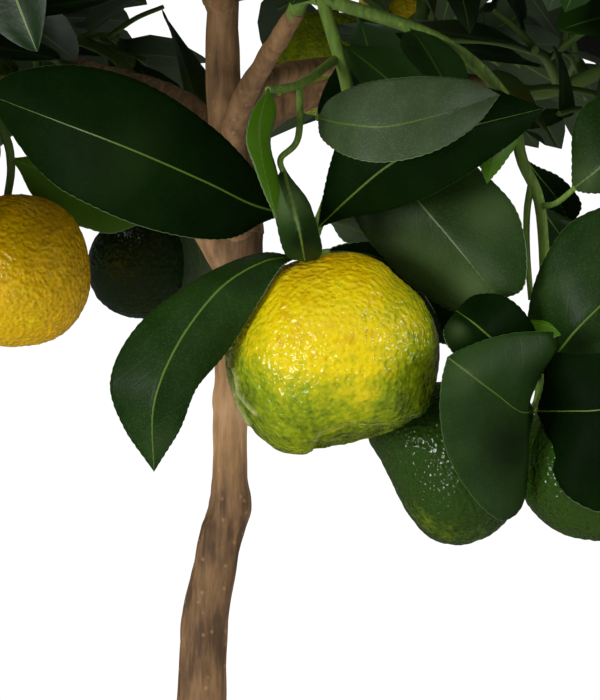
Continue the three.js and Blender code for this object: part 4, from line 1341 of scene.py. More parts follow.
def fruit_of(mass, twigs, chance):
    """Fruit hangs below the end of a twig where there is room for it."""
    found = []
    spots, rooms = all_beads(mass)
    for line in twigs:
        radius = FRUIT["smallest"] + (FRUIT["largest"] - FRUIT["smallest"]) * next(chance)
        end = curve(line, FRUIT["hangs_at"])
        centre = end - (FRUIT["stalk"] + radius) * UP
        rim = centre + radius * np.array([(0, 0, -1), (1, 0, 0), (-1, 0, 0), (0, 1, 0), (0, -1, 0)])
        taken = np.vstack([spots, *[other[0] for other in found]])
        wanted = np.append(rooms, [FRUIT["apart"]] * len(found))
        room = (np.linalg.norm(taken - centre, axis=-1) > wanted + radius).all()
        if len(found) < MASSES[mass][2] and room and in_space(mass, rim) and clear_of_front(mass, rim):
            found.append((centre, radius, end))
    return found


def leaf_points(foot, along, facing, length, width):
    """Foot, tip, both edges and both faces of a straight leaf, with the axes that it lies in."""
    across = unit(np.cross(along, facing))
    over = unit(np.cross(across, along))
    belly, sag = foot + along * length * LEAF["widest_at"], length * LEAF["sag"]
    points = np.array(
        [
            foot - along * LEAF["sunk"],
            foot + along * length - over * sag,
            belly - across * width / 2 + over * sag,
            belly + across * width / 2 + over * sag,
            belly + over * LEAF["thickness"] / 2,
        ]
    )
    return points, (along, across, over, length)


def passes(starts, ends, blades):
    """True where any stretch passes through any blade: a ray meets each triangle's plane inside it."""
    if not len(starts) or not len(blades):
        return False
    way = (ends - starts)[:, None]
    a, b, c = blades[:, 0], blades[:, 1] - blades[:, 0], blades[:, 2] - blades[:, 0]
    cross = np.cross(way, c)
    depth = (cross * b).sum(-1)
    flat = np.abs(depth) < TINY
    depth = np.where(flat, 1, depth)
    from_a = starts[:, None] - a
    u = (from_a * cross).sum(-1) / depth
    over = np.cross(from_a, b)
    v = (way * over).sum(-1) / depth
    t = (c * over).sum(-1) / depth
    return bool((~flat & (u >= 0) & (v >= 0) & (u + v <= 1) & (t >= 0) & (t < 1)).any())


def leaf_fits(mass, points, beads, others, twig_stretches):
    """A leaf stays in its mass's space, keeps clear of beads, and passes through no leaf or twig."""
    if not in_space(mass, points[1:]) or not clear_of_front(mass, points):
        return False
    starts, ends = points[STRETCHES.T]
    if not clear_of(beads, starts, ends):
        return False
    blades = points[BLADES]
    if len(others):
        theirs = np.stack(others)
        their_starts, their_ends = (theirs[:, corner].reshape(-1, 3) for corner in STRETCHES.T)
        if passes(starts, ends, theirs[:, BLADES].reshape(-1, 3, 3)):
            return False
        if passes(their_starts, their_ends, blades):
            return False
    return not passes(twig_stretches[:, 0], twig_stretches[:, 1], blades)


def add_leaves(mass, line, kind, beads, leaves, twig_stretches, chance, spray, lowest=None):
    """The leaves of one twig, from its foot to its end. Each is tried round its twig, then smaller.
    Where lowest is given, a leaf whose foot lies below that height is left out."""
    length = curve_length(line)
    count = math.floor((length - kind["first_at"]) / kind["spacing"]) + 1
    turned_by = next(chance) * 2 * math.pi
    smallest, largest = kind["sizes"]
    made = []
    for k in range(count + 1):
        last = k == count
        t = kind["last_at"]
        if not last:
            t = min((kind["first_at"] + k * kind["spacing"]) / length, kind["last_at"])
        foot, along = curve(line, t), course(line, t)
        lean = kind["last_lean"]
        if not last:
            lean = kind["lean"] + (next(chance) - 0.5) * kind["lean_play"]
        droop = kind["droop"] + (next(chance) - 0.5) * kind["droop_play"]
        outward = unit(foot - (np.array(CANOPY["middle"], float) - kind["from_below"] * UP))
        play = np.array([next(chance) - 0.5, next(chance) - 0.5, next(chance) - 0.5])
        facing = outward * kind["outward"] + kind["upward"] * UP + play * kind["facing_play"]
        size = smallest + (largest - smallest) * next(chance)
        if lowest is not None and foot[2] < lowest:
            continue
        for more, share in kind["tries"]:
            way = leaning(along, lean, turned_by + k * kind["turn"] + more)
            way = unit(way - droop * UP)
            wide = size * share * kind["slimness"]
            points, axes = leaf_points(foot, way, facing, size * share, wide)
            if leaf_fits(mass, points, beads, leaves, twig_stretches):
                leaves.append(points)
                made.append((foot, *axes, spray + 0.5 * last))
                break
    return made


def fine_twigs_of(mass, line, beads, chance):
    """Finer twigs that leave one twig, turned by the golden angle, within the mass's space."""
    found = []
    for k, t in enumerate(FINE_TWIG["at"]):
        start, along = curve(line, t), course(line, t)
        turn = k * TWIG["golden"] + next(chance) * 2 * math.pi
        way = unit(leaning(along, FINE_TWIG["lean"], turn) + FINE_TWIG["lift"] * UP)
        length = min(reach(mass, start, way) - FINE_TWIG["end_room"], FINE_TWIG["longest"])
        if length < FINE_TWIG["shortest"]:
            continue
        end = start + way * length
        bend = (start + end) / 2 + FINE_TWIG["arch"] * length * UP
        stretch = np.array([start, bend, end])
        if clear_of_front(mass, stretch) and clear_of(beads, stretch[1:2], stretch[2:3]):
            found.append(stretch)
    return found


def stretches_of(lines):
    """Each line as its two halves."""
    points = [curve(line, [0, 0.5, 1]) for line in lines]
    halves = [half for a, b, c in points for half in ((a, b), (b, c))]
    return np.array(halves).reshape(-1, 2, 3)


def grow(mass):
    """A whole mass: its stem, twigs, finer twigs, fruit, and leaves with the number of their spray."""
    chance = chances(MASSES[mass][3])
    stem = stem_of(mass)
    twigs = twigs_of(mass, stem, chance)
    fruits = fruit_of(mass, twigs, chance)
    beads = more_beads(all_beads(mass), [(centre[None], radius) for centre, radius, _ in fruits])
    leaves, made = [], []
    for own, line in enumerate(twigs):
        others = stretches_of(twigs[:own] + twigs[own + 1 :])
        made += add_leaves(mass, line, LEAF, beads, leaves, others, chance, own)
    finer = [twig for line in twigs for twig in fine_twigs_of(mass, line, beads, chance)]
    for own, line in enumerate(finer):
        others = stretches_of(twigs + finer[:own] + finer[own + 1 :])
        made += add_leaves(mass, line, FINE_LEAF, beads, leaves, others, chance, len(twigs) + own)
    return {"stem": stem, "twigs": twigs, "finer": finer, "fruits": fruits, "leaves": made}


# Leaves


def blade_width(t):
    """How wide a leaf is at a share of its length: a petiole, then a full blade with a short tip."""
    petiole = OUTLINE["petiole"]
    blade = np.clip((t - petiole) / (1 - petiole), 0, 1)
    full = np.sin(np.pi * blade ** OUTLINE["widest"]) ** OUTLINE["fullness"]
    return np.maximum(full, OUTLINE["stalk"] * (1 - t))


def bough_leaves_part(leaves, tints, grid, seed):
    """Leaves by the rule as one batch of thin closed shells. A leaf's middle runs along its length
    and sags by the square of it, its halves rise from the midrib by the width's share, and its
    edges wave by a sine of the length."""
    draw = np.random.default_rng(seed)
    rows, across = grid
    foot, along, side, over = (np.array([leaf[k] for leaf in leaves]) for k in range(4))
    length = np.array([leaf[4] for leaf in leaves])[:, None, None]
    t = np.array(rows)[None, :, None]
    v = np.array(across + across[-2:0:-1])
    lower = np.arange(len(v)) >= len(across)
    sag, fold, twist, phase = (
        draw.uniform(low, high, len(leaves))[:, None, None] for low, high in BLADE_BENDS
    )
    wide = length * LEAF["slimness"] / 2 * blade_width(t)
    thick = bpy.context.scene.lime_sizes.blade / MM
    wave, waves = BOUGH_WAVE
    rise = fold * wide * np.abs(v) * FOLD - sag * length * t**2
    rise = rise + wave * length * np.sin(waves * t + phase) * v**2
    rise = rise + np.where(lower, -thick / 2, thick / 2) * (np.abs(v) < 1)
    out = wide * v
    shares = (length * t, out * np.cos(twist * t), rise + out * np.sin(twist * t))
    axes = (axis[:, None, None] for axis in (along, side, over))
    rings = foot[:, None, None] + sum(share[..., None] * axis for share, axis in zip(shares, axes))
    ends = foot + along * length[:, :, 0] - over * (sag * length)[:, :, 0]
    part = skins(rings, foot, ends)
    strips = np.where(np.arange(len(v)) < len(across) - 1, -1, UNDER)
    strips[np.abs(v + np.roll(v, -1)) < 0.1] = RIB
    strips = np.where(strips < 0, np.array(tints)[:, None], strips)
    fans = np.repeat(strips[:, None], 2, axis=1)
    fans[:, 0] = RIB
    part["quad_finish"] = np.repeat(strips[:, None], len(rows) - 1, axis=1).ravel()
    part["fan_finish"] = fans.ravel()
    return part


def front_leaf_part(leaf, rows=132):
    """A leaf of the front spray as a thin closed shell over three curves: midrib and both edges. Each
    half bulges by the share of the way from midrib to edge less its square. Its edge waves by a sine
    of the length, and has shallow teeth by the sine's size. Its points know how far along and across
    they lie, and their share of painted sheen, below nought of painted shade, by bell curves round its
    spots in the picture."""
    # The last values are spots of painted sheen, and of painted shade where their share is below nought
    finish, midrib, one_edge, other_edge, *wax = leaf
    sizes = bpy.context.scene.lime_sizes
    deep = sizes.teeth / MM
    t = np.clip((1 - np.cos(np.linspace(0.02, 1, rows) * np.pi)) / 2, 0.002, 0.998)
    to_end = np.minimum(t, 1 - t)
    ease = np.clip(to_end * 12, 0, 1)[:, None]
    places = seen(midrib)
    middle = curve(places, t)
    edges = [curve(np.vstack([places[:1], seen(edge), places[-1:]]), t) for edge in (one_edge, other_edge)]
    spans = np.array(edges) - middle
    widths = np.linalg.norm(spans, axis=-1, keepdims=True)
    teeth = deep * np.abs(np.sin(np.pi * t * curve_length(places) / TOOTH))[:, None]
    spans = spans + unit(spans) * (teeth - deep) * ease
    near = np.minimum(sizes.midrib / MM * (1.15 - t)[:, None], 0.35 * widths + 0.02)
    far = np.minimum(RIM, 0.25 * widths + 0.01)
    wide = np.linalg.norm(spans, axis=-1, keepdims=True)
    shares = np.concatenate([near + np.array(HALF_BLADE) * (wide - near - far), wide], -1)
    shares = shares / np.maximum(wide, SLIGHT)
    strips = shares.shape[-1]
    q = np.concatenate([shares[0][:, ::-1], shares[1]], -1)[..., None]
    way = np.repeat(spans.transpose(1, 0, 2), strips, axis=1)
    broad = np.linalg.norm(way, axis=-1, keepdims=True)
    sheet = middle[:, None] + q * way
    normal = unit(np.cross(np.gradient(sheet, axis=0), np.gradient(sheet, axis=1)))
    normal = unit(normal + SLIGHT * UP)
    phase = sum(midrib[0]) % 6
    wave, waves = FRONT_WAVE
    bulge = BULGE * (q - q**2) * broad
    bulge = bulge + wave * broad * q**2 * np.sin(waves * t + phase)[:, None, None]
    # The upper side faces the eye, but for an underside
    turned = normal[rows // 2, strips - 1, 1] > 0
    up = -normal if turned else normal
    sheet = sheet + up * (bulge * ease[:, None])
    thick = np.full(q.shape, sizes.blade / MM / 2)
    thick[:, [0, -1]] = 0
    thick = thick * np.clip(to_end * 30 + 0.2, 0, 1)[:, None, None]
    at_rib = q < (near[0] / np.maximum(widths[0], SLIGHT))[..., None] * 1.01
    above, below = (thick + np.where(at_rib, rise, 0) for rise in RIB_RISE)
    rings = around(sheet + up * above, sheet - up * below, turned)
    part = skins(rings[None], places[:1], places[-1:])
    along = travelled(middle)
    out = (q * broad)[..., 0] * np.repeat([-1, 1], strips)
    column, row = picture_of(sheet)
    # Share of painted sheen at each point, and of painted shade below nought
    bloom = 0 * out
    for at_column, at_row, size, share in wax:
        bloom = bloom + share * bell(np.hypot(column - at_column, row - at_row), size)
    blade = np.stack([along[:, None] + 0 * out, out, bloom], -1)
    last = [[0, 0, 0], [along[-1], 0, 0]]
    part["blade"] = np.concatenate([around(blade, blade, turned).reshape(-1, 3), last])
    faces = (TINTS.index(finish), TINTS.index("mid") if finish == "under" else UNDER)
    blades = [[face] * (strips - 2) for face in faces]
    kinds = np.array([kind for b in blades for kind in [MARGIN, *b, RIB, *b, MARGIN]])
    kinds = kinds[::-1] if turned else kinds
    part["quad_finish"] = np.tile(kinds, rows - 1)
    part["fan_finish"] = np.tile(kinds, 2)
    return part


def around(face, back, turned):
    """Values on a leaf's face and on its back as one ring to a row, the other way round if turned."""
    rings = np.concatenate([face, back[:, -2:0:-1]], 1)
    return np.roll(rings[:, ::-1], 1, axis=1) if turned else rings


def front_leaf_points():
    """The front spray's leaves as foot, tip, both widest edges and middle, for the rule's tests."""
    found = []
    for _, midrib, one_edge, other_edge, *_ in FRONT_LEAVES:
        middle = seen(midrib)
        edges = [seen(edge)[len(edge) // 2] for edge in (one_edge, other_edge)]
        found.append(np.array([middle[0], middle[-1], *edges, curve(middle, 0.5)]))
    return found


def front_upper_part():
    """More leaves on the front twigs, above the picture's open part, by the rule of the masses."""
    chance = chances(SEEDS["upper_rule"])
    beads = limb_beads()
    taken, made = front_leaf_points(), []
    for _, places in FRONT_TWIGS[:2]:
        made += add_leaves(
            "front", seen(places), FINE_LEAF, beads, taken, stretches_of([]), chance, 0, FRONT_RULE_FROM
        )
    tints = np.random.default_rng(SEEDS["upper_tints"]).integers(0, 3, len(made))
    return bough_leaves_part(made, tints, NEAR_LEAF, SEEDS["upper_bends"])


def spray_tints(sprays, draw):
    """A green for every leaf: one to a spray, but for some last leaves, which are young and bright.
    Whole numbers are sprays, and the last leaf of one is a half above it."""
    sprays = np.array(sprays)
    greens = draw.choice(3, int(sprays.max()) + 1, p=SPRAY_SHARES)
    young = (sprays % 1 > 0) & (draw.uniform(size=len(sprays)) < YOUNG_SHARE)
    return np.where(young, TINTS.index("bright"), greens[sprays.astype(int)])


def mass_leaves_part(leaves, draw, seed):
    """All leaves of a mass, with finer blades where the picture shows them from near by."""
    tints = spray_tints([leaf[5] for leaf in leaves], draw)
    middles = np.array([leaf[0] + leaf[1] * leaf[4] / 2 for leaf in leaves])
    column, row = picture_of(middles)
    near = (column > -NEAR_EDGE) & (column < PICTURE["width"] + NEAR_EDGE)
    near = near & (row > -NEAR_EDGE) & (middles[:, 1] < 0)
    parts = []
    for chosen, grid in ((near, NEAR_LEAF), (~near, FAR_LEAF)):
        group = [leaf for leaf, wanted in zip(leaves, chosen) if wanted]
        if group:
            parts.append(bough_leaves_part(group, tints[chosen], grid, seed))
    return joined(parts)


# Fruit and twigs


def ball_ways(rows, sides):
    """Directions over a ball: rows from top to underside, sides round the upright axis, and poles."""
    down = np.linspace(0, np.pi, rows + 2)[1:-1, None]
    turn = -turns(sides)
    level = np.sin(down)
    ways = np.stack([level * np.cos(turn), level * np.sin(turn), np.cos(down) + 0 * turn], -1)
    return np.concatenate([ways.reshape(-1, 3), [UP, -UP]])


def ball_skin(spots, rows, sides):
    """One closed skin from places in the order of a ball's directions."""
    return skins(spots[:-2].reshape(1, rows, sides, 3), spots[-2:-1], spots[-1:])


def peel_relief(ways, radius, pebble, seed):
    """Height of a rough rind: slow lumps, wrinkled pebbles 5 mm across and fine ones 2.3 mm across."""
    at = ways * radius
    size, rise = RIND["lumps"]
    lumps = rise * ripples(at, size, seed, 20)
    size, far = RIND["bend"]
    bent = at + far * ripples(at, size, seed + 3, 12)[..., None]
    size, rise = RIND["wrinkles"]
    wrinkles = rise * ripples(bent, size, seed + 1, 64)
    size, rise = RIND["fine"]
    return lumps + pebble * (wrinkles + rise * ripples(at, size, seed + 2, 64))


def sharp_marks(every, spots, grade):
    """The sharp fruit's own marks, by bell curves of the distance to their lines in the picture: the
    fold over its underside and the corky ridges down its left side. Green grows with the share of the
    way down, and to both sides and under the fold, where it is partly painted shade. Gives places,
    grade and scar."""
    column, row = picture_of(spots)
    front = every[:, 1] < 0.2
    fold = front * bell(line_distance(spots, UNDER_FOLD), MARKS["fold_width"])
    edge = np.interp(column, *zip(*UNDER_FOLD))
    inside = (row < BELOW_FOLD["row"]) & (column > BELOW_FOLD["column"])
    below = 1.0 * (front & (row > edge + 2) & inside)
    ridges = [bell(line_distance(spots, line), MARKS["ridge_width"]) for line in SIDE_RIDGES]
    ridge = front * np.max(ridges, axis=0)
    above = np.array(UNDER_FOLD) + (0, -4)
    lip = front * bell(line_distance(spots, above), MARKS["lip_width"])
    sunk = MARKS["fold"] * fold + MARKS["below"] * below - MARKS["ridge"] * ridge
    spots = spots - every * sunk[:, None]
    aside, down = every[:, 0], -every[:, 2]
    g = GREENING
    green = np.clip((down + g["start"]) / g["over"], 0, 1) ** g["power"]
    grade = grade - green * (g["down"] + g["aside"] * aside**2)
    # Greener to both sides: partly the rind's own green, partly painted shade where the sides turn from
    # the light
    for way, (start, most) in ((aside, g["right"]), (-aside, g["left"])):
        grade = grade - most * np.clip(way - start, 0, 1)
    below_least = g["left_over"] * (grade - g["least"])
    # Below the fold: partly the rind's greener end, partly painted shade under the fold
    grade = np.maximum(grade, g["least"] + below_least) - g["under"] * below
    return spots, grade, np.clip(CORKY["ridge"] * ridge + CORKY["lip"] * lip, 0, 1)


def picture_fruit_part(name, grid, pebble, seed):
    """A fruit of the picture. Its radius goes from its own, towards the eye, to its outline's at a
    bearing, as the power 1.6 of the sine of the angle between a direction and the eye's."""
    fruit = PICTURE_FRUIT[name]
    outline = np.array(fruit["outline"], float)
    bearing = np.arctan2(-outline[:, 1], outline[:, 0])
    far = np.linalg.norm(outline, axis=-1) / scale_at(fruit["place"][2])
    order = np.argsort(bearing)
    every = ball_ways(*grid)
    share = closed_curve(np.arctan2(every[:, 2], every[:, 0]), bearing[order], far[order])
    aside = every[:, 0] ** 2 + every[:, 2] ** 2
    radius = fruit["radius"] + (share - fruit["radius"]) * aside**0.8
    radius = radius + peel_relief(every, fruit["radius"], pebble, seed)
    spots = seen(fruit["place"]) + every * radius[:, None]
    grade = fruit["ripe"] + fruit["fade"] * every[:, 2] + 0.03 * ripples(every * 20, 22, seed + 5, 16)
    scar = np.zeros(len(every))
    if name == "sharp":
        spots, grade, scar = sharp_marks(every, spots, grade)
    return ball_skin(spots, *grid) | {"grade": grade, "scar": scar}


def bough_fruit_part(centre, radius, ripe, pebble, seed):
    """A fruit out of the picture: a flattened ball of one colour with a dent at both poles, each of
    which dies out by e to minus the height below its pole."""
    every = ball_ways(*BOUGH_FRUIT_GRID)
    off_poles = (1 - every[:, 2], 1 + every[:, 2])
    dents = sum(deep * np.exp(-off / far) for off, (deep, far) in zip(off_poles, DENTS))
    long = radius - RELIEF_ROOM - dents + peel_relief(every, radius, pebble, seed)
    spots = centre + every * long[:, None] * np.array([1, 1, FRUIT["flatness"]])
    return ball_skin(spots, *BOUGH_FRUIT_GRID) | {"quad_finish": ripe, "fan_finish": ripe}


def button_rings(centre, radius):
    """The button between stalk and fruit: a low disc with five lobes, by the cosine of the turn."""
    top = centre + UP * ((radius - RELIEF_ROOM - DENTS[0][0]) * FRUIT["flatness"] + 0.5)
    count, share = BUTTON["lobes"]
    lobes = 1 + share * np.cos(count * turns(BUTTON["sides"]))
    return top + turned_rings(np.array(BUTTON["profile"]), BUTTON["sides"], lobes)


def front_twigs_part():
    """The front spray's stem, which starts in its bough, with its twigs and petioles."""
    tip, along = limb_end("front")
    stem = [tip - along * STEM["sunk"], tip + along * 6, seen(FRONT_TWIGS[0][1][0])]
    runs = [tube(stem, (2.6, 2.4), *FRONT_TWIG_GRID)]
    runs += [tube(seen(places), radii, *FRONT_TWIG_GRID) for radii, places in FRONT_TWIGS]
    return tubes(runs)


def mass_twigs_part(mass, grown):
    """A mass's stem, which starts in its bough, its twigs and the stalks of its fruit with buttons."""
    stem = grown["stem"].copy()
    stem[0] -= STEM["sunk"] * unit(stem[1] - stem[0])
    runs = [(stem, STEM["radii"])]
    runs += [(line, TWIG["radii"]) for line in grown["twigs"]]
    runs += [(line, FINE_TWIG["radii"]) for line in grown["finer"]]
    for centre, radius, end in grown["fruits"]:
        runs.append(([end, centre + UP * (radius * FRUIT["flatness"] - 3)], (1.3, 1.5)))
    if mass in HUNG:
        hung = seen(HUNG[mass]["twig"])
        runs += [([curve(stem, 0.6), hung[0], hung[1]], (2, 1.6)), (hung, (1.6, 1.2))]
    parts = [tubes([tube(places, radii, *TWIG_GRID) for places, radii in runs])]
    if grown["fruits"]:
        parts.append(tubes([button_rings(centre, radius) for centre, radius, _ in grown["fruits"]]))
    return joined(parts)


# Pot and potting mix


def rounded(corners, radii, steps=7):
    """A profile whose corners are eased by arcs: each corner gives the points of a quadratic curve
    between the places at its radius before and after it."""
    corners = np.array(corners, float)
    out = [corners[0]]
    s = np.linspace(0, 1, steps)[:, None]
    for before, corner, after, radius in zip(corners, corners[1:], corners[2:], radii):
        a = corner + unit(before - corner) * min(radius, np.linalg.norm(before - corner) / 2)
        b = corner + unit(after - corner) * min(radius, np.linalg.norm(after - corner) / 2)
        out += list((1 - s) ** 2 * a + 2 * s * (1 - s) * corner + s**2 * b)
    return np.array(out + [corners[-1]])


def pot_sizes():
    """The pot's own sizes from its solid's box and the shared ones, in millimetres."""
    low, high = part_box("pot")
    sizes = bpy.context.scene.lime_sizes
    rim = (high.x - low.x) / 2 / MM
    wall = sizes.wall / MM
    return {
        "height": high.z / MM, "rim": rim, "rim_height": sizes.rim_height / MM,
        "neck": rim - POT["neck"], "foot": rim - POT["foot"], "floor": POT["floor"],
        "inner_top": rim - wall - POT["inside"], "inner_foot": rim - POT["foot"] - wall,
    }


def pot_part():
    """The pot: a turned profile from the underside's middle up outside, over the rim and down inside
    to the floor's middle, with throwing rings of a tenth of a millimetre by two sines of the height."""
    p = pot_sizes()
    rim_foot = p["height"] - p["rim_height"]
    corners = [
        (3, 0), (p["foot"], 0), (p["neck"], rim_foot), (p["rim"] - 1, rim_foot), (p["rim"], p["height"]),
        (p["inner_top"], p["height"]), (p["inner_foot"], p["floor"]), (3, p["floor"]),
    ]
    profile = rounded(corners, CORNERS)
    along = travelled(profile)
    at = np.unique(np.concatenate([np.linspace(0, along[-1], 190), along]))
    profile = np.stack([np.interp(at, along, profile[:, k]) for k in range(2)], -1)
    rings = turned_rings(profile, 144)
    level = rings[..., 2]
    throw = sum(rise * np.sin(level * 2 * np.pi / far + phase) for rise, far, phase in THROWING)
    wobble = 0.25 * ripples(rings, 90, SEEDS["pot"], 12)
    outside = np.linalg.norm(rings[..., :2], axis=-1) > POT["turned_from"]
    rings = rings + unit(rings * (1, 1, 0)) * (0.8 * (throw + wobble) * outside)[..., None]
    return skins(rings[None], 0 * UP[None], p["floor"] * UP[None])


def mix_radius(z):
    """The pot's inner radius at a height, less the gap."""
    p = pot_sizes()
    share = (z - p["floor"]) / (p["height"] - 3 - p["floor"])
    return p["inner_foot"] + (p["inner_top"] - p["inner_foot"]) * share - GAP


def mix_part():
    """The potting mix: a low block whose top is crumpled by ripples 4 to 30 mm long."""
    low, top = MIX_TOP - MIX["depth"], mix_radius(MIX_TOP)
    across = top * np.linspace(1, 0.03, 70)
    bed = np.stack([across, 0 * across + MIX_TOP - MIX["sunk"]], -1)
    rings = turned_rings(np.concatenate([[(3, low), (mix_radius(low), low)], bed]), 150)
    free = (rings[..., 2] > MIX_TOP - 5) & (np.linalg.norm(rings[..., :2], axis=-1) < top - 0.5)
    swells, clods, grain = (high * ripples(rings, size, seed) for high, size, seed in MIX["ripples"])
    rings[..., 2] += np.where(free, swells + np.abs(clods) + grain, 0)
    return skins(rings[None], low * UP[None], (MIX_TOP - 1) * UP[None])


def crumb_part():
    """Crumbs of bark on the mix: short irregular four-ringed grains laid at random over its top."""
    draw = np.random.default_rng(SEEDS["crumbs"])
    count = CRUMBS["count"]
    half = bpy.context.scene.lime_sizes.crumb / MM
    far = mix_radius(MIX_TOP) - CRUMBS["wall"]
    r = np.sqrt(draw.uniform((CRUMBS["from"] / far) ** 2, 1, count)) * far
    a = draw.uniform(0, 2 * np.pi, count)
    spots = np.stack([r * np.cos(a), r * np.sin(a), MIX_TOP - 0.6 + draw.uniform(-0.5, 0.9, count)], -1)
    way = unit(draw.normal(size=(count, 3)) * (1, 1, 0.35))
    side = unit(np.cross(way, UP))
    over = np.cross(way, side)
    long = half * draw.lognormal(0, 0.4, count)
    wide = long * draw.uniform(0.35, 0.8, count)
    turn = turns(6)[:, None]
    rows, swell = np.array(CRUMB_RINGS).T
    jag = draw.uniform(0.75, 1.2, (count, len(rows), len(turn)))
    spoke = np.cos(turn) * side[:, None, None] + np.sin(turn) * 0.6 * over[:, None, None]
    rings = spots[:, None, None] + (long[:, None] * rows)[..., None, None] * way[:, None, None]
    rings = rings + (wide[:, None, None] * swell[None, :, None] * jag)[..., None] * spoke
    part = skins(rings, spots - way * long[:, None], spots + way * long[:, None])
    pale = (draw.integers(0, 3, count) > 1).astype(int)
    part["quad_finish"] = np.repeat(pale, (len(rows) - 1) * len(turn))
    part["fan_finish"] = np.repeat(pale, 2 * len(turn))
    return part


# Stage


def add_floor(radius):
    """A pale round floor that fades into the white background away from the pot, and that glossy
    faces don't see."""
    inner, top, underside = FLOOR["inner"], FLOOR["top"], FLOOR["underside"]
    profile = np.array([(inner, underside), (radius, underside), (radius, top), (inner, top)])
    part = skins(turned_rings(profile, 96)[None], -5 * UP[None], 0 * UP[None])
    colour = tuple(bpy.context.scene.lime_colours.floor)
    finish, tree, shader, place = new_finish("Pale painted floor", Roughness=0.9, Base_Color=colour)
    away = add_node(tree, "VectorMath", (place,), operation="LENGTH")
    fade = add_node(tree, "MapRange", (away, *FLOOR["fade"]), interpolation_type="SMOOTHSTEP")
    glossy = add_node(tree, "LightPath").outputs["Is Glossy Ray"]
    gone = add_node(tree, "Math", (fade, glossy), operation="MAXIMUM")
    blend = add_node(tree, "MixShader", (gone, shader, add_node(tree, "BsdfTransparent")))
    set_inputs(tree, tree.nodes["Material Output"], {"Surface": blend})
    make_mesh("floor", part, [finish])


def add_world():
    """A white background that fills the view. It lights the tree softly, and glossy faces see it
    nearly black, as in a darkened studio."""
    world = bpy.data.worlds.new("studio")
    world.use_nodes = True
    tree = world.node_tree
    tree.nodes.clear()
    rays = add_node(tree, "LightPath").outputs
    fill, glossy, shown = (
        add_node(tree, "Background", {"Color": (1, 1, 1, 1), "Strength": WORLD[use]})
        for use in ("fill", "glossy", "shown")
    )
    unseen = add_node(tree, "MixShader", (rays["Is Glossy Ray"], fill, glossy))
    both = add_node(tree, "MixShader", (rays["Is Camera Ray"], unseen, shown))
    add_node(tree, "OutputWorld", {"Surface": both})
    bpy.context.scene.world = world


def add_lights():
    """Square soft lights, each turned to the middle of the canopy and unseen by the camera. The wide
    one overhead and the one behind leave no glints, so that the peel's colour stays full and no white
    rim eats into an outline. The high one only gives the leaves' upper faces their sheen."""
    for name, (place, width, power, gives) in LIGHTS.items():
        light = bpy.data.lights.new(name, "AREA")
        light.size = width * MM
        light.energy = power
        lamp = linked(name, light)
        lamp.location = Vector(place) * MM
        lamp.rotation_euler = (Vector(LIT_PLACE) - Vector(place)).to_track_quat("-Z", "Y").to_euler()
        lamp.visible_camera = False
        lamp.visible_diffuse = "light" in gives
        lamp.visible_glossy = "glints" in gives


def add_camera():
    """A level camera in front of the tree, whose lens gives the picture's pixels to a millimetre."""
    data = bpy.data.cameras.new("camera")
    data.sensor_width = 36
    far = EYE["sharp_at"] - EYE["y"]
    data.lens = EYE["scale"] * far * data.sensor_width / PICTURE["height"]
    data.clip_start = 0.05
    data.clip_end = 60
    camera = linked("camera", data)
    camera.location = Vector((EYE["x"], EYE["y"], EYE["z"])) * MM
    camera.rotation_euler = (math.pi / 2, 0, 0)
    bpy.context.scene.camera = camera


# Operators and panel


class LIME_OT_clay_pot(bpy.types.Operator):
    """Makes the clay pot from its turned profile"""

    bl_idname = "lime_tree.clay_pot"
    bl_label = "Clay pot"

    def execute(self, context):
        make_piece("clay_pot", pot_part(), [finish_of("clay")], "pot", "pot")
        return {"FINISHED"}


class LIME_OT_potting_mix(bpy.types.Operator):
    """Makes the potting mix and the crumbs on it"""

    bl_idname = "lime_tree.potting_mix"
    bl_label = "Potting mix"

    def execute(self, context):
        finishes = [finish_of("mix"), finish_of("crumb")]
        make_piece("mix_bed", mix_part(), finishes[:1], "potting_mix", "potting_mix")
        make_piece("mix_crumbs", crumb_part(), finishes, "potting_mix", "potting_mix")
        return {"FINISHED"}


class LIME_OT_limbs(bpy.types.Operator):
    """Makes the trunk and every bough with the relief of their bark"""

    bl_idname = "lime_tree.limbs"
    bl_label = "Trunk and boughs"

    def execute(self, context):
        relief = context.scene.lime_sizes.bark_relief / MM
        trunk = tubes([trunk_rings(relief)])
        # Painted light along the trunk's height
        trunk["tone"] = np.interp(trunk["places"][:, 2], *zip(*TRUNK_PAINTED_LIGHT))
        make_piece("bark_trunk", trunk, [finish_of("bark")], "bark", "trunk")
        for seed, name in enumerate(BOUGHS, SEEDS["boughs"]):
            part = tubes([bough_rings(name, relief, seed)])
            make_piece("bark_" + name, part, [finish_of("bark")], "bark", "bough_" + name)
        return {"FINISHED"}


class LIME_OT_front_spray(bpy.types.Operator):
    """Makes the fruiting spray at the front: its twigs, its leaves and its stalks"""

    bl_idname = "lime_tree.front_spray"
    bl_label = "Front spray"

    def execute(self, context):
        leaves = joined([front_leaf_part(leaf) for leaf in FRONT_LEAVES])
        twigs = front_twigs_part()
        make_piece("leaves_front", leaves, leaf_finishes(), "foliage", "foliage_front")
        upper = front_upper_part()
        make_piece("leaves_front_upper", upper, leaf_finishes("bough_"), "foliage", "foliage_front")
        # The front twigs take the paler twig green as painted light
        make_piece("twigs_front", twigs, [finish_of("twig_fresh")], "foliage", "foliage_front")
        return {"FINISHED"}


class LIME_OT_picture_fruit(bpy.types.Operator):
    """Makes the five fruit that the picture shows, with their rind"""

    bl_idname = "lime_tree.picture_fruit"
    bl_label = "Picture's fruit"

    def execute(self, context):
        pebble = context.scene.lime_sizes.pebble / MM
        homes = {hung["fruit"]: "foliage_" + mass for mass, hung in HUNG.items()}
        for seed, name in enumerate(PICTURE_FRUIT):
            grid = SHARP_FRUIT_GRID if name == "sharp" else PICTURE_FRUIT_GRID
            part = picture_fruit_part(name, grid, pebble, SEEDS["picture_fruit"] + 9 * seed)
            home = homes.get(name, "foliage_front")
            make_piece("fruit_" + name, part, [finish_of("peel")], "foliage", home)
        return {"FINISHED"}


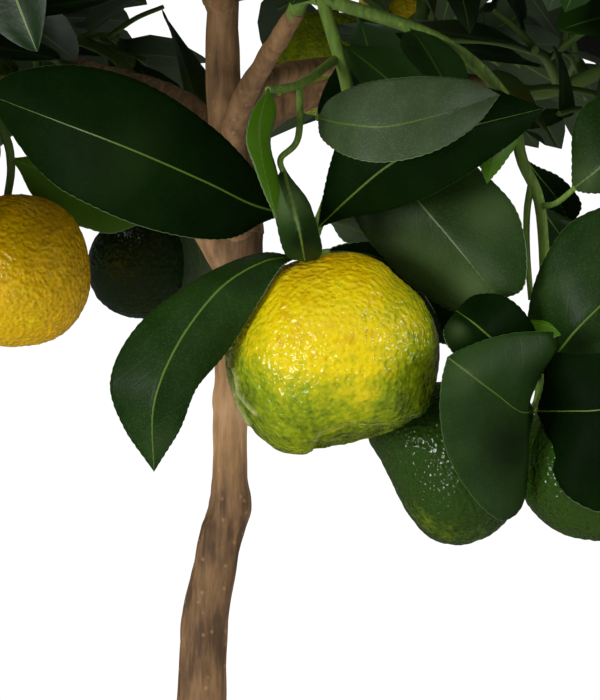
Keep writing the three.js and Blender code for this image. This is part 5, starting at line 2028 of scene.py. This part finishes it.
class LIME_OT_canopy(bpy.types.Operator):
    """Grows every mass of the canopy: its twigs, leaves and fruit"""

    bl_idname = "lime_tree.canopy"
    bl_label = "Canopy"

    def execute(self, context):
        pebble = context.scene.lime_sizes.pebble / MM
        draw = np.random.default_rng(SEEDS["canopy"])
        fruits, nodes = [], []
        for seed, mass in enumerate(MASSES, SEEDS["masses"]):
            node = "foliage_" + mass
            grown = grow(mass)
            for centre, radius, _ in grown["fruits"]:
                own = SEEDS["bough_fruit"] + len(fruits)
                ripe = draw.choice(RIPE_PLACES)
                fruits.append(bough_fruit_part(centre, radius, ripe, pebble, own))
                nodes.append(node)
            if mass in HUNG:
                part = front_leaf_part(HUNG[mass]["leaf"], 60)
                make_piece("leaf_hung_" + mass, part, leaf_finishes(), "foliage", node)
            twigs = mass_twigs_part(mass, grown)
            make_piece("twigs_" + mass, twigs, [finish_of("twig")], "foliage", node)
            leaves = mass_leaves_part(grown["leaves"], draw, seed)
            make_piece("leaves_" + mass, leaves, leaf_finishes("bough_"), "foliage", node)
        peels = [finish_of("peel_" + stage) for stage in ("green", "turning", "yellow", "gold")]
        make_piece("fruit_boughs", joined(fruits), peels, "foliage", *sorted(set(nodes)))
        return {"FINISHED"}


class LIME_OT_stage(bpy.types.Operator):
    """Makes the floor, the studio light and the camera"""

    bl_idname = "lime_tree.stage"
    bl_label = "Stage"

    def execute(self, context):
        context.scene.view_settings.view_transform = "Standard"
        add_floor(context.scene.lime_sizes.floor / MM)
        add_world()
        add_lights()
        add_camera()
        return {"FINISHED"}


OPERATORS = (
    LIME_OT_clay_pot,
    LIME_OT_potting_mix,
    LIME_OT_limbs,
    LIME_OT_front_spray,
    LIME_OT_picture_fruit,
    LIME_OT_canopy,
    LIME_OT_stage,
)


class LIME_PT_panel(bpy.types.Panel):
    """Lists the tree's operators and its sizes and colours in the sidebar"""

    bl_label = "Lime tree"
    bl_space_type = "VIEW_3D"
    bl_region_type = "UI"
    bl_category = "Lime tree"

    def draw(self, context):
        for operator in OPERATORS:
            self.layout.operator(operator.bl_idname)
        for group in (context.scene.lime_sizes, context.scene.lime_colours):
            for key in group.__annotations__:
                self.layout.prop(group, key)


CLASSES = (LimeTreeSizes, LimeTreeColours, *OPERATORS, LIME_PT_panel)


def register():
    """Registers every class, and gives the scene its sizes and colours."""
    for made in CLASSES:
        bpy.utils.register_class(made)
    bpy.types.Scene.lime_sizes = bpy.props.PointerProperty(type=LimeTreeSizes)
    bpy.types.Scene.lime_colours = bpy.props.PointerProperty(type=LimeTreeColours)


def unregister():
    """Takes the sizes and colours off the scene, and every class off Blender."""
    del bpy.types.Scene.lime_sizes
    del bpy.types.Scene.lime_colours
    for made in reversed(CLASSES):
        bpy.utils.unregister_class(made)


def main():
    """Makes every piece in order."""
    register()
    bpy.ops.lime_tree.clay_pot()
    bpy.ops.lime_tree.potting_mix()
    bpy.ops.lime_tree.limbs()
    bpy.ops.lime_tree.front_spray()
    bpy.ops.lime_tree.picture_fruit()
    bpy.ops.lime_tree.canopy()
    bpy.ops.lime_tree.stage()


if __name__ == "__main__":
    main()
